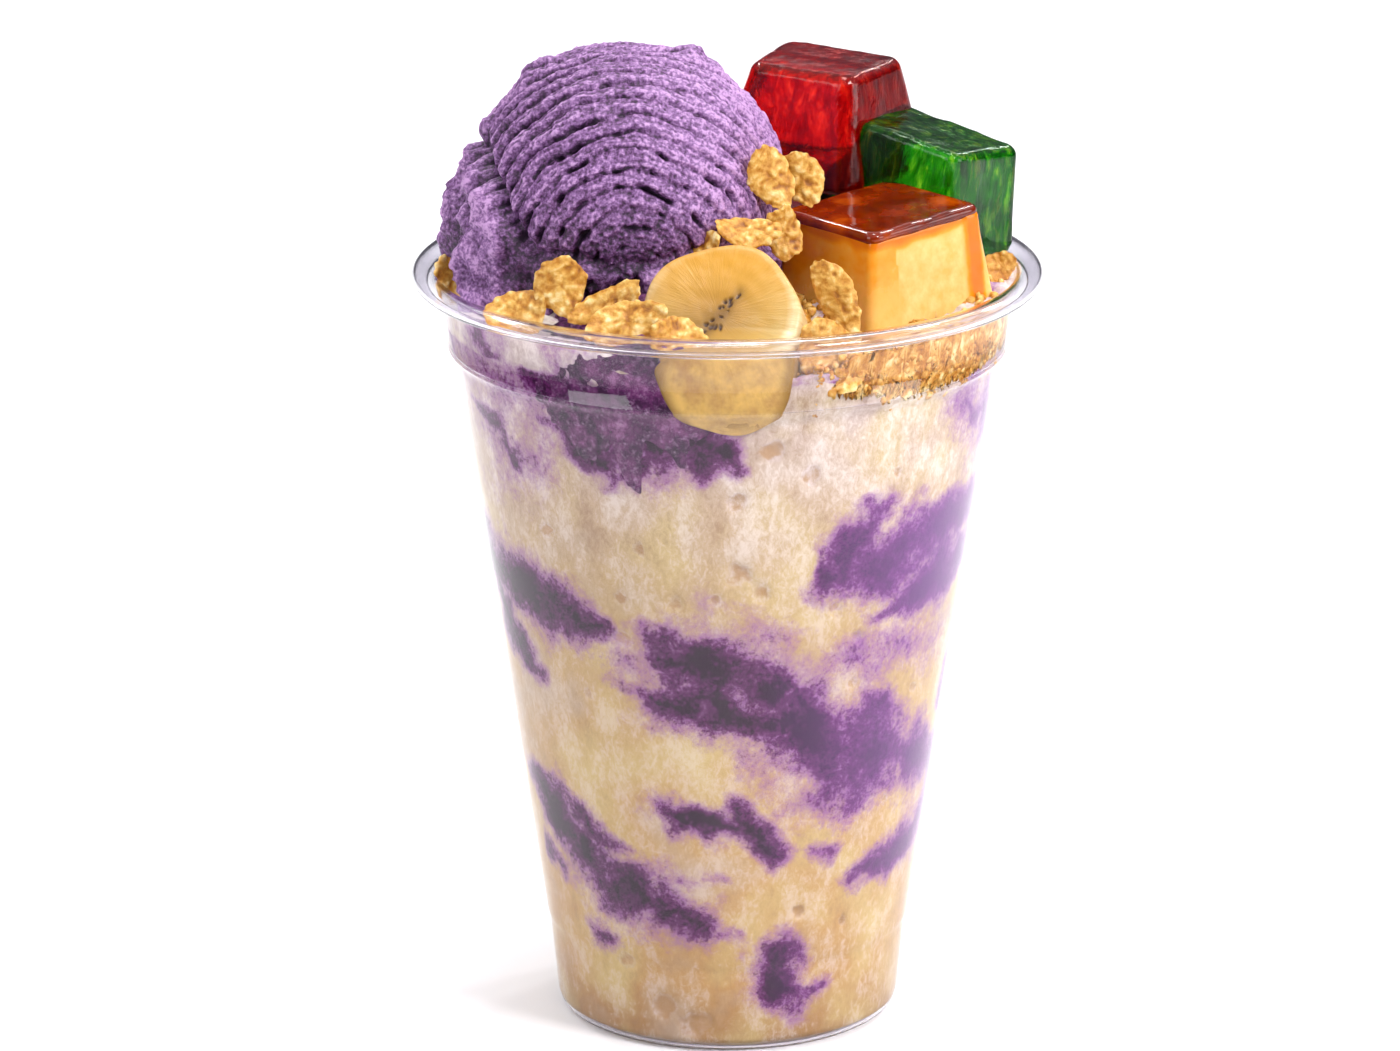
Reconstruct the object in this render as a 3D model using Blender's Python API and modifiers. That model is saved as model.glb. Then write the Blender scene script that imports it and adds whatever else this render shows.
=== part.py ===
"""Halo-halo in a clear cold cup.

A tapered plastic cup with a rolled rim is packed with shaved ice and milk. A layer of purple yam jam
lies under a purple yam ice cream scoop, and red jelly, green jelly, caramel flan, a banana slice and
corn flakes are heaped on top.
Units are metres, +Z is up, and the origin is the centre of the cup's foot. The front is -Y.
"""

import math

import bpy
import bmesh
from mathutils import Euler, Matrix, Vector, noise

MM = 0.001
GAP = 0.3 * MM  # clearance left between pieces that touch
ROOM = 0.5 * MM  # how far a rounded piece's surface is moved out to leave that clearance on its flats too
TURN_STEPS = 32  # facets round every turned piece

# Cup: a 16 ounce cold cup, measured on its outer surface
CUP_HEIGHT = 121.3 * MM
CUP_WALL = 0.6 * MM
RIM_RADIUS = 49.0 * MM
BEAD_HALF_WIDTH, BEAD_HALF_HEIGHT = 2.1 * MM, 1.5 * MM
BEAD_POINTS = 8
BEAD_START, BEAD_END = math.radians(-115), math.radians(175)
NECK_TOP = 117.6 * MM
NECK_RADIUS, NECK_BOTTOM_RADIUS = 44.6 * MM, 43.2 * MM
STACK_STEP_TOP, STACK_STEP_BOTTOM = 108.6 * MM, 106.8 * MM
BODY_TOP_RADIUS, BODY_FOOT_RADIUS = 42.15 * MM, 28.7 * MM
FOOT_STEP_TOP, FOOT_STEP_BOTTOM = 15.6 * MM, 14.4 * MM
FOOT_TOP_RADIUS, FOOT_RADIUS = 28.3 * MM, 27.0 * MM
FOOT_CORNER = 2.0 * MM
REST_RING_RADII = (22.5 * MM, 25.2 * MM)
PUNT_HEIGHT, PUNT_RADIUS = 2.5 * MM, 20.0 * MM

# Filling: its heap above the rim
FILL_EDGE_HEIGHT = 117.6 * MM
HEAP_RISE = 0.5 * MM
FRONT_DIP, FRONT_DIP_CENTRE, FRONT_DIP_SPREAD = 3.2 * MM, (5 * MM, -42 * MM), 14 * MM
BACK_RISE, BACK_RISE_CENTRE, BACK_RISE_SPREAD = 14.0 * MM, (13 * MM, 21 * MM), 11.5 * MM
FILL_TOP_RINGS, FILL_WALL_RINGS = 5, 2

# Scoop: a ball with drawn ridges, and the ragged skirt that the scoop's rim pressed out round its foot
SCOOP_CENTRE = Vector((-15.4, 0.0, 131.2)) * MM
SCOOP_RADIUS = 23.7 * MM
SCOOP_STEPS = 34
RIDGE_COUNT = 12
RIDGE_HEIGHT = 1.2 * MM
RIDGE_SLOPE = 0.78  # share of a ridge that rises before it breaks off
RIDGE_POLE_DIP = math.radians(13)  # how far the ridges' front pole points below the level
LUMP_HEIGHT, LUMP_SIZE = 0.7 * MM, 9 * MM
SKIRT_WIDTH = 7.0 * MM
SKIRT_DIP, SKIRT_SPAN = math.radians(19), math.radians(14)
SKIRT_LEFT_SHARE = 0.3  # how much wider the skirt is at the left than at the front
SKIRT_RAGGED = 0.35

# Yam jam and a bed of crushed flakes: flattened lumps that the filling and the toppings cut to shape.
# Each has its centre, its radii, and how far its lower side is drawn down into drips.
YAM_JAM = dict(centre=(-15.0, -22.0, 110.5), radii=(22.0, 26.0, 12.0), drip=6.0)
CRUMB_BED = dict(centre=(27.0, -21.0, 116.0), radii=(20.0, 22.0, 5.2), drip=3.0)

# Tapered blocks. Each has its centre, its turn in degrees, the width and depth of its top, how much wider
# and deeper its foot is, how far the foot is shifted sideways, its height, and how much wider it is cut at
# the back than at the front, as a share.
RED_JELLY = dict(
    centre=(14.9, 21.3, 139.6), turn=(3, 2, -29), top=(18.8, 14.3), flare=(8.4, 8.0), shift=-1.4, height=18.6,
    splay=0.08)
GREEN_JELLY = dict(
    centre=(30.5, 13.0, 130.8), turn=(-3, 12, -30), top=(18.9, 15.2), flare=(9.4, -2.0), shift=-1.9, height=17.2,
    splay=0.14)
FLAN = dict(
    centre=(24.2, -4.9, 121.0), turn=(3.6, 0.4, -49.4), top=(20.3, 21.6), flare=(3.2, 6.3), shift=0, height=20.9,
    splay=0)
CARAMEL_THICKNESS = 1.2 * MM
BLOCK_ROUNDING = 1.3 * MM

# Banana slice, cut on the slant: its upper cut face looks up and towards the front
BANANA_FACE = Vector((-1.4, -36.0, 122.3)) * MM
BANANA_TURN = (48.0, 0.0, -12.0)
BANANA_RADIUS, BANANA_THICKNESS = 12.4 * MM, 12.5 * MM
BANANA_SIDE = ((0, 0), (0.94, 0), (1, 0.07), (1, 0.4), (0.95, 0.65), (0.82, 0.87), (0.6, 1), (0, 1))
BANANA_SLANT = Vector((2.0, -4.0)) * MM  # how far the lower cut face is shifted, across and down
BANANA_FACETS = 26
BANANA_CORNER = 0.03  # how far the five soft corners of the slice stand out, as a share
BANANA_PRESS, BANANA_PRESS_TOP, BANANA_PRESS_DEPTH = 8.0 * MM, 118.5 * MM, 9.0 * MM
BANANA_PRESS_WIDTH = 13.0 * MM  # half the width that is pressed against the wall

# Corn flakes: centre, turn in degrees, length and width
FLAKES = (
    ((-42.0, -9.0, 121.0), (62, 30, 20), (7.6, 6.4)),
    ((-31.9, -29.6, 121.0), (66, -14, -8), (9.6, 7.0)),
    ((-25.2, -30.2, 125.3), (76, 68, -14), (9.6, 7.6)),
    ((-18.2, -33.0, 123.2), (62, -26, -10), (12.8, 5.0)),
    ((-14.8, -38.2, 121.6), (66, -16, 8), (12.6, 7.6)),
    ((-7.4, -41.2, 120.0), (72, 22, 14), (8.8, 6.6)),
    ((-4.4, -21.6, 128.7), (58, -28, -14), (8.4, 5.0)),
    ((3.0, -21.6, 131.6), (44, 8, 4), (10.8, 5.4)),
    ((8.6, -17.6, 130.4), (80, 72, 14), (9.0, 5.4)),
    ((6.8, -14.0, 138.0), (74, 60, 8), (10.6, 6.2)),
    ((11.8, -11.0, 137.4), (76, 62, -14), (8.4, 5.6)),
    ((16.4, -33.0, 124.0), (80, 62, -22), (12.0, 6.0)),
    ((15.4, -39.8, 116.4), (84, 52, 20), (13.4, 9.0)),
    ((42.4, 2.4, 119.4), (70, -40, 30), (6.4, 5.6)),
)
FLAKE_THICKNESS = 2.2 * MM
FLAKE_CURL = 1.5 * MM
FLAKE_BUMP, FLAKE_BUMP_SIZE = 0.45 * MM, 2.4 * MM
FLAKE_RINGS, FLAKE_FACETS = 5, 8

COLOURS = {
    "clear_pet": ((0.90, 0.91, 0.93), 0.05),
    "milky_ice": ((0.84, 0.74, 0.58), 0.55),
    "yam_jam": ((0.16, 0.05, 0.22), 0.5),
    "crushed_flakes": ((0.62, 0.34, 0.10), 0.75),
    "yam_ice_cream": ((0.30, 0.13, 0.42), 0.7),
    "red_jelly": ((0.62, 0.0, 0.01), 0.08),
    "green_jelly": ((0.0, 0.20, 0.02), 0.08),
    "flan": ((0.88, 0.52, 0.16), 0.35),
    "caramel": ((0.42, 0.10, 0.01), 0.08),
    "banana": ((0.86, 0.66, 0.28), 0.45),
    "corn_flake": ((0.80, 0.46, 0.13), 0.75),
}


def clear_scene():
    for obj in list(bpy.data.objects):
        bpy.data.objects.remove(obj, do_unlink=True)


def new_collection(name):
    collection = bpy.data.collections.new(name)
    bpy.context.scene.collection.children.link(collection)
    return collection


def material(name):
    found = bpy.data.materials.get(name)
    if found:
        return found
    colour, roughness = COLOURS[name]
    made = bpy.data.materials.new(name)
    made.use_nodes = True
    shader = made.node_tree.nodes["Principled BSDF"]
    shader.inputs["Base Color"].default_value = (*colour, 1)
    shader.inputs["Roughness"].default_value = roughness
    shader.inputs["Metallic"].default_value = 0.0
    return made


def triangulated(mesh):
    """The mesh in flat triangles, so that every cut meets the same faces."""
    bm = bmesh.new()
    bm.from_mesh(mesh)
    bmesh.ops.remove_doubles(bm, verts=bm.verts, dist=0.01 * MM)
    bmesh.ops.triangulate(bm, faces=bm.faces)
    bm.to_mesh(mesh)
    bm.free()
    return mesh


def add_object(name, mesh, collection, finish=None):
    obj = bpy.data.objects.new(name, triangulated(mesh))
    collection.objects.link(obj)
    if finish:
        mesh.materials.clear()
        mesh.materials.append(material(finish))
        mesh.shade_smooth()
        mesh.set_sharp_from_angle(angle=math.radians(50))
    return obj


def add_cutter(name, mesh, cutters):
    obj = add_object(name, mesh, cutters)
    obj.hide_render = True
    obj.display_type = "WIRE"
    return obj


def mesh_from(name, build):
    """A mesh made by build(bm), with its normals facing out."""
    bm = bmesh.new()
    build(bm)
    bmesh.ops.recalc_face_normals(bm, faces=bm.faces)
    mesh = bpy.data.meshes.new(name)
    bm.to_mesh(mesh)
    bm.free()
    return mesh


def applied(obj):
    """The mesh that obj's modifiers make, in its own space, with the object and its old mesh removed."""
    graph = bpy.context.evaluated_depsgraph_get()
    mesh = bpy.data.meshes.new_from_object(obj.evaluated_get(graph))
    old = obj.data
    bpy.data.objects.remove(obj, do_unlink=True)
    bpy.data.meshes.remove(old)
    return mesh


def turned(name, outline, steps=TURN_STEPS, thickness=0.0):
    """A mesh turned about +Z from an outline of (radius, height) that runs down its outer side."""
    mesh = bpy.data.meshes.new(name)
    mesh.from_pydata([(r, 0, z) for r, z in outline], [(i, i + 1) for i in range(len(outline) - 1)], [])
    obj = bpy.data.objects.new(name, mesh)
    bpy.context.scene.collection.objects.link(obj)
    screw = obj.modifiers.new("turn", "SCREW")
    screw.axis = "Z"
    screw.steps = screw.render_steps = steps
    screw.use_merge_vertices = True
    screw.merge_threshold = 0.01 * MM
    if thickness:
        shell = obj.modifiers.new("wall", "SOLIDIFY")
        shell.thickness = thickness
        shell.offset = -1
        shell.use_even_offset = True
    return applied(obj)


def near(obj, other):
    """Whether two objects' bounding boxes meet."""
    boxes = []
    for mesh in (obj.data, other.data):
        corners = [vertex.co for vertex in mesh.vertices]
        boxes.append([(min(c[i] for c in corners), max(c[i] for c in corners)) for i in range(3)])
    return all(a[0] < b[1] and b[0] < a[1] for a, b in zip(*boxes))


def cut(obj, cutters):
    for cutter in cutters:
        if near(obj, cutter):
            boolean(obj, "DIFFERENCE", cutter)


def room_for(name, mesh, cutters):
    """A cutter that leaves a gap all round a rounded piece: its mesh with every point moved out."""
    for vertex, normal in zip(mesh.vertices, [v.normal.copy() for v in mesh.vertices]):
        vertex.co += normal * ROOM
    return add_cutter(name, mesh, cutters)


def boolean(obj, operation, other):
    step = obj.modifiers.new(operation.lower() + "_" + other.name, "BOOLEAN")
    step.operation = operation
    step.object = other
    step.solver = "EXACT"


# ---- cup and filling ------------------------------------------------------------------------------


def bead_outline():
    """The rolled rim, from its tucked-in end over the outside and the top to the inside.

    The sheet's outer face turns inwards where it is rolled, so this outline is the hollow of the roll.
    """
    middle, height = RIM_RADIUS - BEAD_HALF_WIDTH, CUP_HEIGHT - BEAD_HALF_HEIGHT
    across, up = BEAD_HALF_WIDTH - CUP_WALL, BEAD_HALF_HEIGHT - CUP_WALL
    turns = [BEAD_START + (BEAD_END - BEAD_START) * i / (BEAD_POINTS - 1) for i in range(BEAD_POINTS)]
    return [(middle + across * math.cos(a), height + up * math.sin(a)) for a in turns]


def wall_outline():
    """The cup's outer wall below the rim, down to the foot's corner."""
    return [
        (NECK_RADIUS, NECK_TOP),
        (NECK_BOTTOM_RADIUS, STACK_STEP_TOP),
        (BODY_TOP_RADIUS, STACK_STEP_BOTTOM),
        (BODY_FOOT_RADIUS, FOOT_STEP_TOP),
        (FOOT_TOP_RADIUS, FOOT_STEP_BOTTOM),
        (FOOT_RADIUS, FOOT_CORNER),
    ]


def foot_outline():
    ring_in, ring_out = REST_RING_RADII
    middle = ((FOOT_RADIUS * 2 + ring_out) / 3, FOOT_CORNER * 0.3)
    return [middle, (ring_out, 0), (ring_in, 0), (PUNT_RADIUS, PUNT_HEIGHT), (0, PUNT_HEIGHT)]


def cup_mesh():
    return turned("cup", bead_outline() + wall_outline() + foot_outline(), thickness=CUP_WALL)


def inner_radius(height):
    """The radius of the cup's inner face at a height, straight between the outline's points."""
    points = [(r, z) for r, z in wall_outline()]
    if height >= points[0][1]:
        return points[0][0] - CUP_WALL
    for (r_high, z_high), (r_low, z_low) in zip(points, points[1:]):
        if height >= z_low:
            share = (height - z_low) / (z_high - z_low)
            return r_low + share * (r_high - r_low) - CUP_WALL
    return points[-1][0] - CUP_WALL


def heap_height(x, y):
    """The height of the ice heap's surface over a point."""
    radius = math.hypot(x, y) / inner_radius(FILL_EDGE_HEIGHT)
    back = math.hypot(x - BACK_RISE_CENTRE[0], y - BACK_RISE_CENTRE[1]) / BACK_RISE_SPREAD
    edge = 1 - min(radius, 1) ** 3
    front = math.hypot(x - FRONT_DIP_CENTRE[0], y - FRONT_DIP_CENTRE[1]) / FRONT_DIP_SPREAD
    rise = edge * (HEAP_RISE + BACK_RISE * math.exp(-back * back))
    return FILL_EDGE_HEIGHT + rise - FRONT_DIP * math.exp(-front * front)


def filling_mesh(name):
    """The inside of the cup up to the heap, a gap clear of the wall."""
    edge_radius = inner_radius(FILL_EDGE_HEIGHT) - GAP
    top = [(edge_radius * i / FILL_TOP_RINGS, FILL_EDGE_HEIGHT) for i in range(FILL_TOP_RINGS + 1)]
    low, high = FOOT_STEP_TOP, STACK_STEP_BOTTOM
    heights = [STACK_STEP_TOP] + [high + (low - high) * i / FILL_WALL_RINGS for i in range(FILL_WALL_RINGS + 1)]
    heights += [FOOT_STEP_BOTTOM, 2 * FOOT_CORNER]
    wall = [(inner_radius(z) - GAP, z) for z in heights]
    floor = CUP_WALL + GAP
    ring_in, ring_out = REST_RING_RADII
    foot = [(ring_out - GAP, floor), (ring_in, floor), (PUNT_RADIUS, PUNT_HEIGHT + 1.4 * floor)]
    mesh = turned(name, top + wall + foot + [(0, PUNT_HEIGHT + 1.4 * floor)])
    for vertex in mesh.vertices:
        if abs(vertex.co.z - FILL_EDGE_HEIGHT) < 0.01 * MM:
            height = heap_height(vertex.co.x, vertex.co.y)
            radius = math.hypot(vertex.co.x, vertex.co.y)
            inwards = min((inner_radius(height) - GAP) / max(radius, GAP), 1)
            vertex.co = (vertex.co.x * inwards, vertex.co.y * inwards, height)
    return mesh


def wall_keep_out_mesh():
    """A thick ring that stands for the cup's wall and rim, a gap clear of both."""
    top = CUP_HEIGHT + GAP
    outside = RIM_RADIUS + 20 * MM
    inside = [(inner_radius(z) - GAP, z) for z in (0, FOOT_STEP_TOP, STACK_STEP_BOTTOM, STACK_STEP_TOP, NECK_TOP)]
    neck = (inside[-1][0], top)
    outline = [neck, (outside, top), (outside, -top), (inside[0][0], -top)] + inside
    return turned("wall_keep_out", outline + [neck])


# ---- ice cream ------------------------------------------------------------------------------------


def ridge_offset(turn):
    """How far the drawn ridges stand out, over the angle from the scoop's front pole."""
    place = turn / math.pi * RIDGE_COUNT
    share = place - math.floor(place)
    rise = share / RIDGE_SLOPE if share < RIDGE_SLOPE else (1 - share) / (1 - RIDGE_SLOPE)
    return RIDGE_HEIGHT * rise


def skirt_offset(way):
    """How far the skirt stands out of the ball in a direction."""
    place = (math.asin(max(min(way.z, 1), -1)) + SKIRT_DIP) / SKIRT_SPAN
    if abs(place) >= 1:
        return 0
    level = Vector((way.x, way.y, 0)).normalized()
    ragged = noise.noise(level * 3.1) + 0.5 * noise.noise(level * 7.3)
    size = 1 - SKIRT_LEFT_SHARE * (1 + level.x)
    return SKIRT_WIDTH * math.sqrt(1 - place * place) * size * (1 + SKIRT_RAGGED * ragged)


def scoop_mesh(name):
    """The scoop: its ridges ring the front pole, where the blade curled the ice cream over."""
    turns = []
    for i in range(RIDGE_COUNT):
        turns += [i / RIDGE_COUNT, (i + RIDGE_SLOPE) / RIDGE_COUNT]
    outline = [(math.sin(t * math.pi), math.cos(t * math.pi)) for t in turns] + [(0, -1)]
    offsets = [ridge_offset(t * math.pi) for t in turns] + [0]
    mesh = turned(name, outline, steps=SCOOP_STEPS)
    dip = Matrix.Rotation(math.radians(90) + RIDGE_POLE_DIP, 3, "X")
    for vertex in mesh.vertices:
        turn = math.acos(max(min(vertex.co.z, 1), -1)) / math.pi
        ridge = min(zip(turns + [1], offsets), key=lambda pair: abs(pair[0] - turn))[1]
        way = (dip @ vertex.co).normalized()
        lump = LUMP_HEIGHT * noise.noise(way * SCOOP_RADIUS / LUMP_SIZE)
        radius = SCOOP_RADIUS + ridge + lump + skirt_offset(way)
        vertex.co = SCOOP_CENTRE + way * radius
    return mesh


def lump_mesh(name, lump):
    """A flattened lump, with its lower side drawn down into drips."""

    def build(bm):
        bmesh.ops.create_uvsphere(bm, u_segments=18, v_segments=10, radius=1)
        for vertex in bm.verts:
            drip = max(-vertex.co.z, 0) * lump["drip"] * noise.noise(vertex.co * 2.4)
            size = Vector([r * MM * c for r, c in zip(lump["radii"], vertex.co)])
            vertex.co = size + Vector((0, 0, drip * MM)) + Vector(lump["centre"]) * MM

    return mesh_from(name, build)


# ---- solid toppings -------------------------------------------------------------------------------


def placement(centre, turn):
    angles = [math.radians(a) for a in turn]
    return Matrix.Translation(Vector(centre)) @ Euler(angles).to_matrix().to_4x4()


def block_mesh(name, block, low=0.0, high=1.0, grow=0.0):
    """The part of a tapered block between two shares of its height, rounded, or grown as a cutter."""
    height = block["height"] * MM
    place = placement(Vector(block["centre"]) * MM, block["turn"])

    def build(bm):
        bmesh.ops.create_cube(bm, size=2)
        for vertex in bm.verts:
            share = high if vertex.co.z > 0 else low
            width, depth = [(w + f * (1 - share)) * MM / 2 for w, f in zip(block["top"], block["flare"])]
            width *= 1 + vertex.co.y * block["splay"]
            across = vertex.co.x * (width + grow) + block["shift"] * (1 - share) * MM
            rise = (share - 0.5) * height + math.copysign(grow, vertex.co.z)
            vertex.co = Vector((across, vertex.co.y * (depth + grow), rise))
        rounding = min(BLOCK_ROUNDING, (high - low) * height * 0.45) + grow
        bmesh.ops.bevel(bm, geom=bm.edges[:], offset=rounding, segments=2, profile=0.5, affect="EDGES")
        bmesh.ops.transform(bm, matrix=place, verts=bm.verts)

    return mesh_from(name, build)


def flan_share():
    """The share of the block's height at which the flan ends and the caramel starts."""
    return 1 - CARAMEL_THICKNESS / (FLAN["height"] * MM)


def banana_mesh(name):
    """A slanted slice with five soft corners, its lower side pressed forward to the cup's wall."""
    outline = [(share * BANANA_RADIUS, -depth * BANANA_THICKNESS) for share, depth in BANANA_SIDE]
    mesh = turned(name, outline, steps=BANANA_FACETS)
    place = placement(BANANA_FACE, BANANA_TURN)
    for vertex in mesh.vertices:
        turn = math.atan2(vertex.co.y, vertex.co.x)
        corner = 1 + BANANA_CORNER * math.cos(5 * turn)
        slant = -BANANA_SLANT * vertex.co.z / BANANA_THICKNESS
        point = place @ Vector((vertex.co.x * corner + slant.x, vertex.co.y * corner + slant.y, vertex.co.z))
        share = min(max((BANANA_PRESS_TOP - point.z) / BANANA_PRESS_DEPTH, 0), 1)
        side = (point.x - BANANA_FACE.x - BANANA_SLANT.x / 2) / BANANA_PRESS_WIDTH
        point.y -= BANANA_PRESS * share * share * (3 - 2 * share) * max(1 - side * side, 0)
        vertex.co = point
    return mesh


def flake_mesh(name, index):
    """A toasted corn flake: a small bumpy oval sheet, curled along its length."""
    centre, turn, (length, width) = FLAKES[index]
    place = placement(Vector(centre) * MM, turn)
    half = Vector((length * MM, width * MM, FLAKE_THICKNESS)) / 2

    def build(bm):
        bmesh.ops.create_uvsphere(bm, u_segments=FLAKE_FACETS, v_segments=FLAKE_RINGS, radius=1)
        for vertex in bm.verts:
            seed = vertex.co * 1.3 + Vector((index * 7.1, 0, 0))
            outline = 1 + 0.16 * noise.noise(seed)
            point = Vector((vertex.co.x * half.x * outline, vertex.co.y * half.y * outline, vertex.co.z * half.z))
            point.z += FLAKE_CURL * (vertex.co.x ** 2 - 0.4)
            point.z += FLAKE_BUMP * noise.noise(point / FLAKE_BUMP_SIZE + Vector((index, 0, 0)))
            vertex.co = point
        bmesh.ops.transform(bm, matrix=place, verts=bm.verts)

    return mesh_from(name, build)


# ---- putting it together --------------------------------------------------------------------------


def main():
    clear_scene()
    parts = new_collection("halo_halo")
    cutters = new_collection("cutters")
    wall = add_cutter("cut_wall", wall_keep_out_mesh(), cutters)

    add_object("cup", cup_mesh(), parts, "clear_pet")
    share = flan_share()
    lift = GAP / (FLAN["height"] * MM)
    flakes = [f"corn_flake_{i + 1:02d}" for i in range(len(FLAKES))]
    solid = {
        "jelly_red": (block_mesh("jelly_red", RED_JELLY), "red_jelly"),
        "jelly_green": (block_mesh("jelly_green", GREEN_JELLY), "green_jelly"),
        "leche_flan": (block_mesh("leche_flan", FLAN, high=share - lift), "flan"),
        "caramel_top": (block_mesh("caramel_top", FLAN, low=share), "caramel"),
        "banana_slice": (banana_mesh("banana_slice"), "banana"),
    }
    solid.update({name: (flake_mesh(name, i), "corn_flake") for i, name in enumerate(flakes)})
    pieces = {name: add_object(name, mesh, parts, finish) for name, (mesh, finish) in solid.items()}
    for piece in pieces.values():
        cut(piece, [wall])

    red_room = add_cutter("cut_red", block_mesh("cut_red", RED_JELLY, grow=GAP), cutters)
    green_room = add_cutter("cut_green", block_mesh("cut_green", GREEN_JELLY, grow=GAP), cutters)
    flan_room = add_cutter("cut_flan", block_mesh("cut_flan", FLAN, grow=GAP), cutters)
    caramel_room = add_cutter("cut_caramel", block_mesh("cut_caramel", FLAN, low=share, grow=GAP), cutters)
    banana_room = room_for("cut_banana", banana_mesh("cut_banana"), cutters)
    toppings = [red_room, green_room, flan_room, caramel_room, banana_room]
    cut(pieces["jelly_green"], [flan_room, caramel_room])
    cut(pieces["jelly_red"], [green_room])
    for name in flakes:
        cut(pieces[name], toppings)

    flake_rooms = [room_for("cut_" + name, flake_mesh("cut_" + name, i), cutters) for i, name in enumerate(flakes)]
    scoop_room = room_for("cut_scoop", scoop_mesh("cut_scoop"), cutters)
    jam_room = room_for("cut_jam", lump_mesh("cut_jam", YAM_JAM), cutters)
    bed_room = room_for("cut_bed", lump_mesh("cut_bed", CRUMB_BED), cutters)
    inside = add_cutter("cut_inside", filling_mesh("inside"), cutters)

    scoop = add_object("ube_scoop", scoop_mesh("ube_scoop"), parts, "yam_ice_cream")
    jam = add_object("ube_jam", lump_mesh("ube_jam", YAM_JAM), parts, "yam_jam")
    bed = add_object("crushed_flakes", lump_mesh("crushed_flakes", CRUMB_BED), parts, "crushed_flakes")
    ice = add_object("milky_ice", filling_mesh("milky_ice"), parts, "milky_ice")
    for piece in (jam, bed):
        boolean(piece, "INTERSECT", inside)
    cut(bed, [jam_room])
    cut(ice, [jam_room, bed_room])
    cut(scoop, [wall])
    for piece in (jam, bed, ice):
        cut(piece, [scoop_room])
    for piece in (scoop, jam, bed, ice):
        cut(piece, toppings + flake_rooms)


main()
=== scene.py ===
"""Looks of the halo-halo in its clear cup: every piece's fine surface and finish, the lights and the camera.

Shapes are worked out in millimetres and scaled to metres when their mesh is made. The front is -Y, and an
angle round the cup is measured from the front, towards the right.
"""

import itertools
import math

import bmesh
import bpy
import numpy as np
from mathutils import Euler, Matrix, Vector


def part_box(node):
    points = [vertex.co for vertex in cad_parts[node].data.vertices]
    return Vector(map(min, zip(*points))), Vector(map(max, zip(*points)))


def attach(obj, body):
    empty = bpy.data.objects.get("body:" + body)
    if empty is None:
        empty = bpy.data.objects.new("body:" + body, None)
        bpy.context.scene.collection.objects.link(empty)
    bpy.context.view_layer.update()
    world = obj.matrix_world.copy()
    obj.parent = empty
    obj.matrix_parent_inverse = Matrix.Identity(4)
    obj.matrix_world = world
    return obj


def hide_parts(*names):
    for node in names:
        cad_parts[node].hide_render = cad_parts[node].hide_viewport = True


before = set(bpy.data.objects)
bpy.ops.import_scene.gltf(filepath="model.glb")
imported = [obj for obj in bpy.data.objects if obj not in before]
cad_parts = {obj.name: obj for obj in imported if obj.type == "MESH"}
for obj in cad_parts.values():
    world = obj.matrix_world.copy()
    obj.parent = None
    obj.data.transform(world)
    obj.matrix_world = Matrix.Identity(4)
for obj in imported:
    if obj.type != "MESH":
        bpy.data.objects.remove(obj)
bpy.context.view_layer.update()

MM = 0.001
SINK = 0.15  # how far what fills the cup reaches into its wall
RNG = np.random.default_rng(11)

# Cup, measured on its outer surface
CUP_LOW, CUP_HIGH = [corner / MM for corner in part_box("cup")]
CUP_HEIGHT, RIM_RADIUS = CUP_HIGH.z, CUP_HIGH.x
CUP_WALL, CUP_CORNER = 0.6, 0.9
BEAD_HALF_WIDTH, BEAD_HALF_HEIGHT = 2.1, 1.5
BEAD_START, BEAD_END = math.radians(-115), math.radians(175)
NECK_TOP, NECK_BOTTOM, STEP_BOTTOM = 117.6, 108.6, 106.8
STACK_RIDGE = ((43.23, 108.8), (43.6, 108.45), (42.95, 108.05))  # holds nested cups apart
WALL = ((44.6, NECK_TOP), (43.2, NECK_BOTTOM), (42.15, STEP_BOTTOM), (28.7, 15.6), (28.3, 14.4), (27.0, 2.0))
FOOT = ((26.4, 0.6), (25.2, 0.0), (22.5, 0.0), (20.0, 2.5))
PUNT_HEIGHT = 2.5

# Filling: its heap above the rim
FILL_EDGE = 117.6
HEAP_RISE = 0.5
FRONT_DIP, FRONT_DIP_CENTRE, FRONT_DIP_SPREAD = 3.2, (5, -42), 14
BACK_RISE, BACK_RISE_CENTRE, BACK_RISE_SPREAD = 14.0, (13, 21), 11.5
FLAN_DIP, FLAN_DIP_CENTRE, FLAN_DIP_SPREAD = 5.0, (30, -28), 17

# Scoop
SCOOP_CENTRE = np.array((-15.4, 0.0, 131.2))
SCOOP_RADIUS = 23.7
RIDGE_COUNT = 25
RIDGE_POLE_DIP, RIDGE_POLE_TURN = math.radians(13), math.radians(4)
# The skirt that the scoop pressed out: how far below level its upper edge is in front, how much higher that
# edge is at the left, its width in front and how much wider it is at the left
SKIRT_EDGE, SKIRT_EDGE_RISE = math.radians(-9), math.radians(33)
SKIRT_WIDTH, SKIRT_LEFT_WIDTH = 2.0, 4.8
SKIRT_FOOT = math.radians(-34)
# Crumbs torn up along the scoop's outline: angle above the right, width and height
SCOOP_LUMPS = (
    (57, 2.0, 1.2), (67, 2.2, 1.8), (121, 2.4, 1.4), (128, 1.8, 1.2), (153, 2.2, 1.6), (175, 2.4, 1.6))

# Lumps of yam jam and crushed flakes: centre, radii
YAM_JAM = ((-12.5, -22.0, 110.8), (16.5, 26.0, 12.0))
CRUMB_BED = ((27.0, -21.0, 112.6), (21.0, 23.0, 2.4))
BANK_REACH, BANK_TOP = (39.0, 43.0), 116.8
# Drips on the jam's lower side against the wall: angle, depth, half width in degrees
JAM_DRIPS = ((-31, 3.0, 6.0), (-21.5, 7.0, 4.0), (-5, 5.5, 8.0))

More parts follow.
